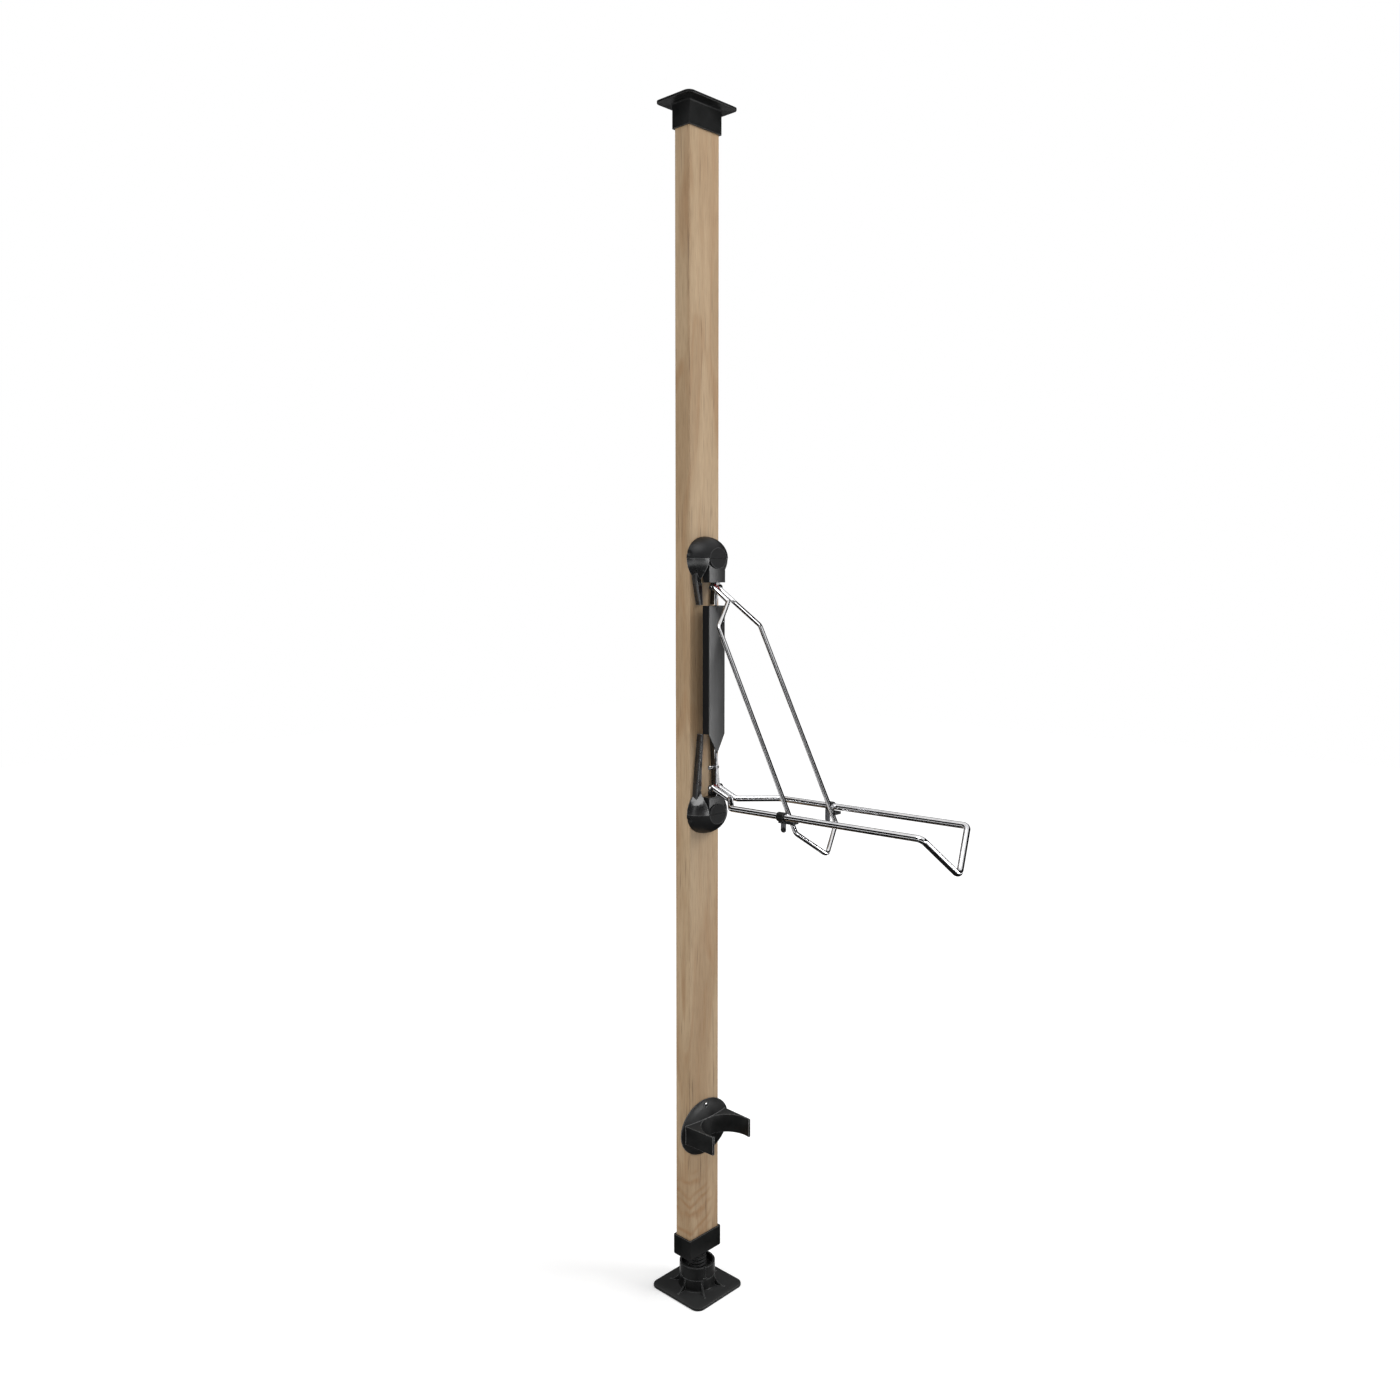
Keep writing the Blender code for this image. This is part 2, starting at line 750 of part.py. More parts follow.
def leg_section(height, facing, along, inner, outer, side):
    # Leg section with its ridge at the outer front edge.
    level = head_height(height, along, facing)
    back = front - seat_gap
    points = [
        (outer, back),
        (outer, front - leg_side_depth),
        (outer - leg_ridge_inset, front - leg_ridge_depth),
        (inner, front - leg_inner_depth),
        (inner, back),
    ]
    loop = [(side * x, y, level) for x, y in points]
    if side * facing < 0:
        loop.reverse()
    return loop


def ellipse_outline(half_x, half_y, centre_y):
    outline = []
    for step in range(large_round):
        angle = 2 * math.pi * step / large_round
        outline.append((half_x * math.cos(angle), centre_y + half_y * math.sin(angle)))
    return outline


def cut_shoulders(body, height, facing):
    # One flat on each side of the cup, where its leg comes out.
    for side in (-1, 1):
        outward = Vector((side * shoulder_fall_side, -shoulder_fall_front, -facing)).normalized()
        level = head_height(height, shoulder_along, facing)
        point = Vector((side * shoulder_across, front - shoulder_out, level))
        flat = block((-far, far), (-far, far), (0.0, far))
        turn = Vector((0.0, 0.0, 1.0)).rotation_difference(outward).to_matrix().to_4x4()
        flat.data.transform(Matrix.Translation(point) @ turn)
        half_x = sorted((0.0, side * far))
        keep_inside(flat, block(half_x, (-far, far), (height - far, height + far)))
        cut(body, flat)


def cup_lip(height, facing):
    # A low rim that stands inside the cover and closes the seam.
    inset = dome_wall + seat_gap
    levels = sorted((head_height(height, seat_gap, facing), head_height(height, -cup_lip_height, facing)))
    through = (levels[0] - overrun, levels[1] + overrun)
    lip = prism(ellipse_outline(dome_half_width - inset, dome_half_depth - inset, front), "XY", *levels)
    keep_inside(lip, block((-far, far), (front - dome_flat + inset, front - seat_gap), levels))
    inset += cup_lip_wall
    hollow = prism(ellipse_outline(dome_half_width - inset, dome_half_depth - inset, front), "XY", *through)
    keep_inside(hollow, block((-far, far), (front - dome_flat + inset, front + overrun), through))
    return cut(lip, hollow)


def build_bracket(name, height, facing, leg_shape):
    centre = (0.0, front, height)
    body = ellipsoid(dome_half_width - cover_step, dome_half_depth - cover_step, cup_roundness, centre)
    cup_levels = sorted((head_height(height, seat_gap, facing), head_height(height, cup_depth, facing)))
    keep_inside(body, block((-dome_half_width, dome_half_width),
                            (front - dome_flat + cover_step, front - seat_gap), cup_levels))
    cut_shoulders(body, height, facing)
    for side in (-1, 1):
        sections = []
        for along, inner, outer in leg_shape:
            sections.append(leg_section(height, facing, along, inner, outer, side))
        join(body, loft(sections))

    plate_outline = rounded_rectangle(2 * plate_half_width, plate_above + plate_below, plate_corner_radius, 5,
                                      (0.0, height + facing * (plate_above - plate_below) / 2))
    plate = prism(plate_outline, "XZ", front - seat_gap - plate_thickness, front - seat_gap)
    lug_levels = sorted((head_height(height, seat_gap, facing),
                         head_height(height, seat_gap - lug_thickness, facing)))
    lug_back = front - seat_gap - overrun
    lug_outline = [(pocket_half_web, lug_back), (-pocket_half_web, lug_back)]
    for step in range(13):
        angle = math.pi + math.pi * step / 12
        lug_outline.append((lug_radius * math.cos(angle), front - swivel_out + lug_radius * math.sin(angle)))
    lug = prism(lug_outline, "XY", lug_levels[0], lug_levels[1])
    join(body, plate)
    opened = cup_depth + pocket_past_cup
    pocket_levels = sorted((head_height(height, seat_gap, facing), head_height(height, opened, facing)))
    web_levels = sorted((head_height(height, seat_gap, facing), head_height(height, 2 * opened, facing)))
    pocket = cylinder(pocket_radius, pocket_levels[0], pocket_levels[1],
                      (0.0, front - swivel_out, 0.0), "Z", large_round)
    between = block((-pocket_half_web, pocket_half_web), (front - far, front + overrun), web_levels)
    pin_hole = cylinder(unit_pin_bore, lug_levels[0] - overrun, lug_levels[1] + overrun,
                        (0.0, front - swivel_out, 0.0))
    cut(body, pocket, between)
    join(lug, cup_lip(height, facing))
    join(body, cut(lug, pin_hole))
    for side in (-1, 1):
        level = head_height(height, -screw_above, facing)
        cut(body, cylinder(screw_bore, -far, overrun, (side * screw_across, front, level), "Y"))
    finish(body, name, black_casting, shoulder_crease)


def build_dome_cover(name, height, facing):
    centre = (0.0, front, height)
    levels = sorted((height, head_height(height, -dome_half_height - overrun, facing)))
    shell = ellipsoid(dome_half_width, dome_half_depth, dome_half_height, centre)
    keep_inside(shell, block((-dome_half_width, dome_half_width),
                             (front - dome_flat, front - seat_gap), levels))
    hollow = ellipsoid(dome_half_width - dome_wall, dome_half_depth - dome_wall,
                       dome_half_height - dome_wall, centre)
    open_levels = (levels[0] - overrun, levels[1]) if facing > 0 else (levels[0], levels[1] + overrun)
    keep_inside(hollow, block((-dome_half_width, dome_half_width),
                              (front - dome_flat + dome_wall, front + overrun), open_levels))
    for side in (-1, 1):
        spot = (side * dent_across, front - dent_out, head_height(height, -dent_above, facing))
        cut(shell, ellipsoid(dent_radius, dent_radius, dent_radius, spot, small_round))
        wall = dent_radius + dome_wall
        cut(hollow, ellipsoid(wall, wall, wall, spot, small_round))
    cut(shell, hollow)
    finish(shell, name, dark_cover)


def build_block(name, height, facing, end):
    # A pivot block: its top half-disc continues the flat on the dome above it.
    start = head_height(height, block_start, facing)
    levels = sorted((start, end))
    length = levels[1] - levels[0]
    body = block((-unit_half_width, unit_half_width), (front - unit_front, front - unit_back), levels)
    bevel_edges(body, unit_edge, 2, lambda a, b: abs(a.z - b.z) > length - same)
    disc_outline = []
    for step in range(21):
        angle = math.pi * step / 20
        across = disc_half_width * math.cos(angle)
        disc_outline.append((across, start - facing * disc_half_height * math.sin(angle)))
    disc = prism(disc_outline, "XZ", front - dome_flat, front - unit_front + overrun)
    keep_inside(disc, block((-unit_half_width, unit_half_width), (front - far, front), levels))
    join(body, disc)
    pin_end = head_height(height, block_start + swivel_pin_reach + seat_gap, facing)
    pin_levels = sorted((start + facing * overrun, pin_end))
    bar_levels = sorted((end - facing * overrun, end + facing * (spine_in_block + seat_gap)))
    pin_hole = cylinder(unit_pin_bore, pin_levels[0], pin_levels[1], (0.0, front - swivel_out, 0.0))
    slot = block((-spine_half_width - seat_gap, spine_half_width + seat_gap),
                 (front - spine_front - seat_gap, front - spine_back + seat_gap), bar_levels)
    cut(body, pin_hole, slot)
    set_origin(body, (0.0, front - swivel_out, start))
    finish(body, name, dark_cover)


def build_swivel_pin(name, height, facing):
    lug_far = head_height(height, seat_gap - lug_thickness, facing)
    base = lug_far + facing * seat_gap
    tip = head_height(height, block_start + swivel_pin_reach, facing)
    profile = [
        (0.0, base + facing * swivel_head_height),
        (swivel_head_radius - swivel_head_chamfer, base + facing * swivel_head_height),
        (swivel_head_radius, base + facing * (swivel_head_height - swivel_head_chamfer)),
        (swivel_head_radius, base),
        (swivel_pin_radius, base),
        (swivel_pin_radius, tip + facing * swivel_head_chamfer),
        (swivel_pin_radius - swivel_head_chamfer, tip),
        (0.0, tip),
    ]
    pin = revolve(profile, (0.0, front - swivel_out, 0.0), "Z")
    finish(pin, name, dark_steel)


def build_rail_channel():
    back = front - unit_back
    crown = front - unit_front
    side_front = crown + rail_crown
    section = [(unit_half_width, back), (unit_half_width, side_front + unit_edge)]
    for step in range(13):
        across = unit_half_width - unit_edge / 2 - (2 * unit_half_width - unit_edge) * step / 12
        share = across / unit_half_width
        section.append((across, crown + rail_crown * share * share))
    section.append((-unit_half_width, side_front + unit_edge))
    section.append((-unit_half_width, back))
    channel = prism(section, "XY", rail_point, rail_top)
    face = [
        (-unit_half_width, rail_top),
        (-unit_half_width, rail_side_end),
        (0.0, rail_point),
        (unit_half_width, rail_side_end),
        (unit_half_width, rail_top),
    ]
    keep_inside(channel, prism(face, "XZ", front - far, front))
    inside_front = front - unit_front + rail_wall
    inner_levels = (rail_side_end + rail_wall, rail_top - rail_wall)
    half = unit_half_width - rail_wall
    rib_back = front - unit_front + rail_rib_depth
    for side in (-1, 1):
        inner = sorted((side * half, side * rail_rib_half_width))
        cut(channel, block(inner, (inside_front, back + overrun), inner_levels))
    cut(channel, block((-half, half), (rib_back, back + overrun), inner_levels))
    cut(channel, block((-far, far), (inside_front, back + overrun), (rail_point - overrun, rail_side_end)))
    slot_half = spine_half_width + seat_gap
    cut(channel, block((-slot_half, slot_half), (front - spine_front - seat_gap, rib_back + overrun),
                       (rail_point - overrun, rail_top + overrun)))
    set_origin(channel, (0.0, front - swivel_out, rail_side_end))
    finish(channel, "rail_channel", dark_cover)


def build_spine_bar():
    low = lower_block_end - spine_in_block
    high = upper_block_end + spine_in_block
    bar = block((-spine_half_width, spine_half_width), (front - spine_front, front - spine_back), (low, high))
    eyes = [
        (pivot_out, lower_pivot_height, pin_bore),
        (pivot_out, upper_pivot_height, pin_bore),
        (swivel_out, bolt_height, bolt_radius + seat_gap),
    ]
    rounds = []
    holes = []
    for out, height, bore in eyes:
        centre = (0.0, front - out, height)
        rounds.append(cylinder(bore + eye_wall, -eye_half_width, eye_half_width, centre, "X"))
        holes.append(cylinder(bore, -far, far, centre, "X"))
    bar = join(*rounds, bar)
    cut(bar, join(*holes))
    set_origin(bar, (0.0, front - swivel_out, lower_pivot_height))
    finish(bar, "spine_bar", dark_steel)


def build_arm_pin(name, height, half_length):
    profile = [
        (0.0, -half_length),
        (pin_radius - pin_chamfer, -half_length),
        (pin_radius, -half_length + pin_chamfer),
        (pin_radius, half_length - pin_chamfer),
        (pin_radius - pin_chamfer, half_length),
        (0.0, half_length),
    ]
    pin = revolve(profile, (0.0, front - pivot_out, height), "X")
    finish(pin, name, chrome)


def build_ring(name, look, radius, start, end, height, edge):
    low, high = sorted((start, end))
    profile = [
        (pin_bore, low),
        (radius - edge, low),
        (radius, low + edge),
        (radius, high - edge),
        (radius - edge, high),
        (pin_bore, high),
    ]
    ring = revolve(profile, (0.0, front - pivot_out, height), "X", ring=True)
    finish(ring, name, look)


def build_pivots():
    levels = (
        ("upper", upper_pivot_height, upper_bar_inner, upper_bar_radius),
        ("lower", lower_pivot_height, lower_bar_inner, lower_bar_radius),
    )
    for word, height, bar_inner, bar_radius in levels:
        bush_start = bar_inner + 2 * bar_radius + seat_gap
        bush_end = bush_start + bush_thickness
        washer_end = bar_inner - seat_gap
        build_arm_pin(word + "_arm_pin", height, bush_end + pin_end_reach)
        for side, side_word in ((-1, "left"), (1, "right")):
            build_ring(word + "_bush_" + side_word, black_plastic, bush_radius,
                       side * bush_start, side * bush_end, height, bush_edge)
            build_ring(word + "_washer_" + side_word, red_plastic, washer_radius,
                       side * washer_start, side * washer_end, height, washer_edge)


def build_cross_bolt():
    profile = [
        (0.0, -bolt_left),
        (bolt_head_radius - bolt_chamfer, -bolt_left),
        (bolt_head_radius, -bolt_left + bolt_chamfer),
        (bolt_head_radius, -bolt_left + bolt_head_height),
        (bolt_radius, -bolt_left + bolt_head_height),
        (bolt_radius, bolt_right - bolt_chamfer),
        (bolt_radius - bolt_chamfer, bolt_right),
        (0.0, bolt_right),
    ]
    bolt = revolve(profile, (0.0, front - swivel_out, bolt_height), "X")
    finish(bolt, "cross_bolt", chrome)


def arm_points(pivot_height, corners):
    # Corners are (across, out, drop) on one side; the bar runs down one side and back up the other.
    side = [Vector((x, front - y, pivot_height - drop)) for x, y, drop in corners]
    other = [Vector((-point.x, point.y, point.z)) for point in reversed(side[:-1])]
    return side + other


def build_arm(name, height, radius, corners, bend_radius):
    points = arm_points(height, corners)
    radii = [bend_radius] * (len(points) - 2)
    radii[len(radii) // 2] = tip_bend_radius
    arm = bent_bar(rounded_path(points, radii), radius)
    cut(arm, cylinder(pin_bore, -far, far, (0.0, front - pivot_out, height), "X"))
    set_origin(arm, (0.0, front - pivot_out, height))
    finish(arm, name, chrome)


def build_arms():
    lower = [
        (lower_bar_root, pivot_out, 0.0),
        (lower_bar_root, lower_splay_start_out, lower_splay_start_drop),
        (lower_rail_across, lower_rail_start_out, lower_rail_start_drop),
        (lower_rail_across, lower_rail_end_out, lower_rail_end_drop),
        (0.0, lower_tip_out, lower_tip_drop),
    ]
    build_arm("lower_arm", lower_pivot_height, lower_bar_radius, lower, lower_bend_radius)
    upper = [
        (upper_bar_root, pivot_out, 0.0),
        (upper_bar_root, upper_splay_start_out, upper_splay_start_drop),
        (upper_leg_across, upper_leg_start_out, upper_leg_start_drop),
        (upper_leg_across, upper_leg_end_out, upper_leg_end_drop),
        (0.0, upper_tip_out, upper_tip_drop),
    ]
    build_arm("upper_arm", upper_pivot_height, upper_bar_radius, upper, upper_bend_radius)


def side_bar_height(out):
    # Height of the lower arm's side bar at a distance out from the pole's face.
    share = (out - lower_rail_start_out) / (lower_rail_end_out - lower_rail_start_out)
    drop = lower_rail_start_drop + share * (lower_rail_end_drop - lower_rail_start_drop)
    return lower_pivot_height - drop


def leg_out(height):
    # How far out the upper arm's legs are at a height.
    return upper_leg_start_out + upper_leg_slope * (upper_pivot_height - upper_leg_start_drop - height)


def clip_place():
    # Distance out and height of a clip's middle, just behind where the leg passes the side bar.
    out = leg_out(side_bar_height(upper_leg_end_out)) - clip_behind_leg
    return out, side_bar_height(out)


def build_clip(name, side):
    # A C-ring round the side bar, its gap towards the middle, with a foot and a peg that stops the upper arm.
    middle_out, middle_height = clip_place()
    clip_front = front - middle_out - clip_length / 2
    clip_back = front - middle_out + clip_length / 2
    start = math.pi + clip_opening
    sweep = 2 * math.pi - 2 * clip_opening
    outline = []
    for step in range(15):
        angle = start + sweep * step / 14
        outline.append((clip_radius * math.cos(angle), clip_radius * math.sin(angle)))
    for step in range(15):
        angle = start + sweep * (1 - step / 14)
        outline.append((clip_bore * math.cos(angle), clip_bore * math.sin(angle)))
    outline = [(lower_rail_across + x, middle_height + z) for x, z in outline]
    clip = prism(outline, "XZ", clip_front, clip_back)
    slope = (side_bar_height(lower_rail_end_out) - side_bar_height(lower_rail_start_out))
    slope /= lower_rail_end_out - lower_rail_start_out
    shear = Matrix.Identity(4)
    shear[2][1] = -slope
    shear[2][3] = slope * (front - middle_out)
    clip.data.transform(shear)

    foot_bottom = middle_height - clip_radius - clip_foot_drop
    foot_outer = clip_foot_inner + clip_foot_width
    foot = block((clip_foot_inner, foot_outer), (clip_front, clip_back),
                 (foot_bottom, middle_height - clip_radius + clip_foot_overlap))
    peg_height = middle_height - clip_radius - peg_drop
    reach = (upper_bar_radius + peg_radius + peg_leg_gap) * math.hypot(1.0, upper_leg_slope)
    peg_out = leg_out(peg_height) + reach
    arm = block((clip_foot_inner, foot_outer - clip_arm_step),
                (front - peg_out - peg_radius, clip_front + clip_arm_step),
                (foot_bottom, peg_height + clip_arm_above_peg))
    peg_inner = upper_leg_across - upper_bar_radius - peg_past_leg
    peg = cylinder(peg_radius, peg_inner, clip_foot_inner + clip_arm_step,
                   (0.0, front - peg_out, peg_height), "X")
    join(clip, foot, arm, peg)
    if side < 0:
        clip.data.transform(Matrix.Scale(-1, 4, (1.0, 0.0, 0.0)))
        clip.data.flip_normals()
    set_origin(clip, (side * lower_rail_across, front - middle_out, middle_height))
    finish(clip, name, black_plastic)


def build_tab(name, pad_name, side):
    # A steel tab that hangs inside the clip, with a round rubber pad on its outer face.
    middle_out, middle_height = clip_place()
    radius = tab_width / 2
    middle = front - middle_out + tab_behind_clip
    under_ring = math.sqrt(clip_radius ** 2 - (lower_rail_across - tab_outer) ** 2)
    top = middle_height - under_ring - 2 * seat_gap
    bottom = top - tab_length
    outline = [(middle + radius, top), (middle - radius, top)]
    for step in range(11):
        angle = math.pi + math.pi * step / 10
        outline.append((middle + radius * math.cos(angle), bottom + radius + radius * math.sin(angle)))
    low, high = sorted((side * tab_inner, side * tab_outer))
    tab = prism(outline, "YZ", low, high)
    finish(tab, name, dark_steel)
    near = side * (tab_outer + seat_gap)
    away = near + side * pad_thickness
    profile = [
        (0.0, near),
        (pad_radius, near),
        (pad_radius, away - side * pad_edge),
        (pad_radius - pad_edge, away),
        (0.0, away),
    ]
    pad = revolve(profile, (0.0, middle, bottom + pad_above_end), "X")
    finish(pad, pad_name, black_plastic)


def build_clips():
    for side, word in ((-1, "left"), (1, "right")):
        build_clip("clip_" + word, side)
        build_tab("stop_tab_" + word, "stop_pad_" + word, side)


def build_wheel_rest():
    rings = 4
    builder = bmesh.new()
    loops = []
    levels = [
        (1.0, front - seat_gap),
        (1.0, front - rest_edge + rest_edge_round),
        (rest_rim_share, front - rest_edge),
    ]
    for ring in range(1, rings):
        share = 1 - ring / rings
        levels.append((share * rest_rim_share, front - rest_edge - rest_crown * (1 - share * share)))
    for share, out in levels:
        loop = []
        for step in range(large_round):
            angle = 2 * math.pi * step / large_round
            loop.append(builder.verts.new((share * rest_half_width * math.cos(angle), out,
                                           rest_height + share * rest_half_height * math.sin(angle))))
        loops.append(loop)
    builder.faces.new(loops[0])
    for first, second in zip(loops, loops[1:]):
        for step in range(large_round):
            nxt = (step + 1) % large_round
            builder.faces.new((first[step], first[nxt], second[nxt], second[step]))
    crown = builder.verts.new((0.0, front - rest_edge - rest_crown, rest_height))
    for step in range(large_round):
        builder.faces.new((loops[-1][step], loops[-1][(step + 1) % large_round], crown))
    rest = raw_object(builder)

    tip_angle = math.asin((cradle_tip_out - bite_out) / bite_radius)
    fork = [
        (-cradle_root_half_width, front - cradle_root_out),
        (-cradle_tip_half_width, front - cradle_tip_out),
    ]
    for step in range(29):
        angle = math.pi + tip_angle - (math.pi + 2 * tip_angle) * step / 28
        fork.append((bite_radius * math.cos(angle), front - bite_out + bite_radius * math.sin(angle)))
    fork.append((cradle_tip_half_width, front - cradle_tip_out))
    fork.append((cradle_root_half_width, front - cradle_root_out))
    cradle = prism(fork, "XY", cradle_bottom, cradle_top)
    bevel_edges(cradle, cradle_bevel, 2, lambda a, b: abs(a.z - b.z) < same)
    join(rest, cradle)
    for side in (-1, 1):
        level = rest_height + side * rest_screw_rise
        stepped = [
            (0.0, -far),
            (rest_counterbore_radius, -far),
            (rest_counterbore_radius, -rest_screw_head_out),
            (screw_bore, -rest_screw_head_out),
            (screw_bore, overrun),
            (0.0, overrun),
        ]
        cut(rest, revolve(stepped, (0.0, front, level), "Y", large_round))
    finish(rest, "wheel_rest", black_plastic)


# Leg outline of each bracket: distance from the equator, inner and outer half width
upper_leg_shape = [
    (leg_start, 23.0 * mm, 38.5 * mm),
    (42.0 * mm, 20.0 * mm, 38.5 * mm),
    (70.0 * mm, 19.5 * mm, 33.0 * mm),
    (91.0 * mm, 18.0 * mm, 28.0 * mm),
    (98.5 * mm, 17.5 * mm, 26.5 * mm),
]
lower_leg_shape = [
    (leg_start, 23.0 * mm, 38.5 * mm),
    (39.3 * mm, 22.0 * mm, 37.5 * mm),
    (94.3 * mm, 21.0 * mm, 32.0 * mm),
    (157.0 * mm, 16.4 * mm, 24.5 * mm),
    (170.5 * mm, 15.5 * mm, 22.5 * mm),
]


def build_heads():
    heads = (
        ("upper", upper_head_height, 1, upper_leg_shape, upper_block_end),
        ("lower", lower_head_height, -1, lower_leg_shape, lower_block_end),
    )
    for word, height, facing, legs, end in heads:
        build_bracket(word + "_bracket", height, facing, legs)
        build_dome_cover(word + "_dome_cover", height, facing)
        build_block(word + "_pivot_block", height, facing, end)
        build_swivel_pin(word + "_swivel_pin", height, facing)


build_foot()
build_jack()
build_post_socket()
build_post()
build_ceiling_cap()
build_heads()
build_rail_channel()
build_spine_bar()
build_cross_bolt()
build_pivots()
build_arms()
build_clips()
build_wheel_rest()
build_screws()
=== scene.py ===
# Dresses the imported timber-pole bike rack: finishes, round bars, thread, screws, pads, beads and studio.
import json
import math

import bmesh
import bpy
from mathutils import Matrix, Vector


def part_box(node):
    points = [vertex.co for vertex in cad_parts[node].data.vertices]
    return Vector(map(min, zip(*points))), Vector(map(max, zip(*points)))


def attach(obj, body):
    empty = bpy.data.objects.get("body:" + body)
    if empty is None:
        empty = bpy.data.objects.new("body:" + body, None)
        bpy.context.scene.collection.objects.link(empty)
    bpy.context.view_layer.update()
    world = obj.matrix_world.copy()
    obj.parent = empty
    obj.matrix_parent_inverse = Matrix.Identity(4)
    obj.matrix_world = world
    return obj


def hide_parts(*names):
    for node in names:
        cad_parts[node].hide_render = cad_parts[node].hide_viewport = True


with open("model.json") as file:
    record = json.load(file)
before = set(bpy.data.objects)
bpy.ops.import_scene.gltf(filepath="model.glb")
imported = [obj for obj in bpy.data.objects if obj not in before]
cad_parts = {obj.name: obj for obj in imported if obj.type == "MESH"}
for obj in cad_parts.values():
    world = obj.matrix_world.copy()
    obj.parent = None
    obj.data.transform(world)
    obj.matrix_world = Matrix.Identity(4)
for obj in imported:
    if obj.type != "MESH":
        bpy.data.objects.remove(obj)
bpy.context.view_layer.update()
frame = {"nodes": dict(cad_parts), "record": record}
mm = 0.001  # the pieces' sizes are written in millimetres and the studio's in metres
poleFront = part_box("timber_post")[0][1]

print("Finishes")


shaderSocket = {
    "colour": "Base Color",
    "roughness": "Roughness",
    "specular": "Specular IOR Level",
    "metallic": "Metallic",
    "glow": "Emission Color",
    "glowStrength": "Emission Strength",
}
bevelSamples = 6


class NodeDesk:
    # Keeps the making of one material's node tree short.
    def __init__(self, name):
        self.material = bpy.data.materials.new(name)
        self.material.use_nodes = True
        self.tree = self.material.node_tree
        self.shader = self.tree.nodes["Principled BSDF"]
        self.place = self.add("ShaderNodeTexCoord").outputs["Object"]

    def add(self, kind, **settings):
        node = self.tree.nodes.new(kind)
        for key, value in settings.items():
            if key in node.inputs:
                node.inputs[key].default_value = value
            else:
                setattr(node, key, value)
        return node

    def link(self, source, target):
        self.tree.links.new(source, target)

    def setPlain(self, **values):
        # Values that are the same all over the surface, on the shader's own sockets.
        for key, value in values.items():
            self.shader.inputs[shaderSocket[key]].default_value = value

    def noise(self, vector, scale, detail, roughness=0.5, distortion=0.0):
        node = self.add("ShaderNodeTexNoise", Scale=scale, Detail=detail, Roughness=roughness,
                        Distortion=distortion)
        self.link(vector, node.inputs["Vector"])
        return node.outputs["Fac"]

    def grain(self, stretch, *noiseValues, turn=(0.0, 0.0, 0.0)):
        # A noise drawn out along the pole.
        node = self.add("ShaderNodeMapping", Scale=stretch, Rotation=turn)
        self.link(self.place, node.inputs["Vector"])
        return self.noise(node.outputs["Vector"], *noiseValues)

    def sums(self, operation, value, other=None):
        node = self.add("ShaderNodeMath", operation=operation)
        self.link(value, node.inputs[0])
        if isinstance(other, float):
            node.inputs[1].default_value = other
        elif other is not None:
            self.link(other, node.inputs[1])
        return node.outputs["Value"]

    def ramp(self, value, positions, colours):
        node = self.add("ShaderNodeValToRGB")
        ramp = node.color_ramp
        while len(ramp.elements) < len(positions):
            ramp.elements.new(0.5)
        for element, position, colour in zip(ramp.elements, positions, colours):
            element.position = position
            element.color = (*colour, 1.0)
        self.link(value, node.inputs["Fac"])
        return node.outputs["Color"]

    def spread(self, value, low, high, fromLow=0.3, fromHigh=0.7):
        node = self.add("ShaderNodeMapRange")
        node.inputs["From Min"].default_value = fromLow
        node.inputs["From Max"].default_value = fromHigh
        node.inputs["To Min"].default_value = low
        node.inputs["To Max"].default_value = high
        self.link(value, node.inputs["Value"])
        return node.outputs["Result"]

    def mix(self, share, first, second, kind="MIX"):
        node = self.add("ShaderNodeMix", data_type="RGBA", blend_type=kind)
        for socket, value in ((node.inputs[6], first), (node.inputs[7], second)):
            if isinstance(value, tuple):
                socket.default_value = (*value, 1.0)
            else:
                self.link(value, socket)
        if isinstance(share, float):
            node.inputs[0].default_value = share
        else:
            self.link(share, node.inputs[0])
        return node.outputs[2]

    def relief(self, height, strength, distance, edgeRadius=0.0):
        node = self.add("ShaderNodeBump", Strength=strength, Distance=distance)
        self.link(height, node.inputs["Height"])
        if edgeRadius:
            edge = self.add("ShaderNodeBevel", samples=bevelSamples, Radius=edgeRadius)
            self.link(edge.outputs["Normal"], node.inputs["Normal"])
        self.link(node.outputs["Normal"], self.shader.inputs["Normal"])

    def edgeMask(self, radius, low, high):
        # 1 along sharp edges and 0 on open faces.
        rounded = self.add("ShaderNodeBevel", samples=bevelSamples, Radius=radius)
        flat = self.add("ShaderNodeNewGeometry")
        dot = self.add("ShaderNodeVectorMath", operation="DOT_PRODUCT")
        self.link(rounded.outputs["Normal"], dot.inputs[0])
        self.link(flat.outputs["Normal"], dot.inputs[1])
        return self.spread(dot.outputs["Value"], 1.0, 0.0, low, high)


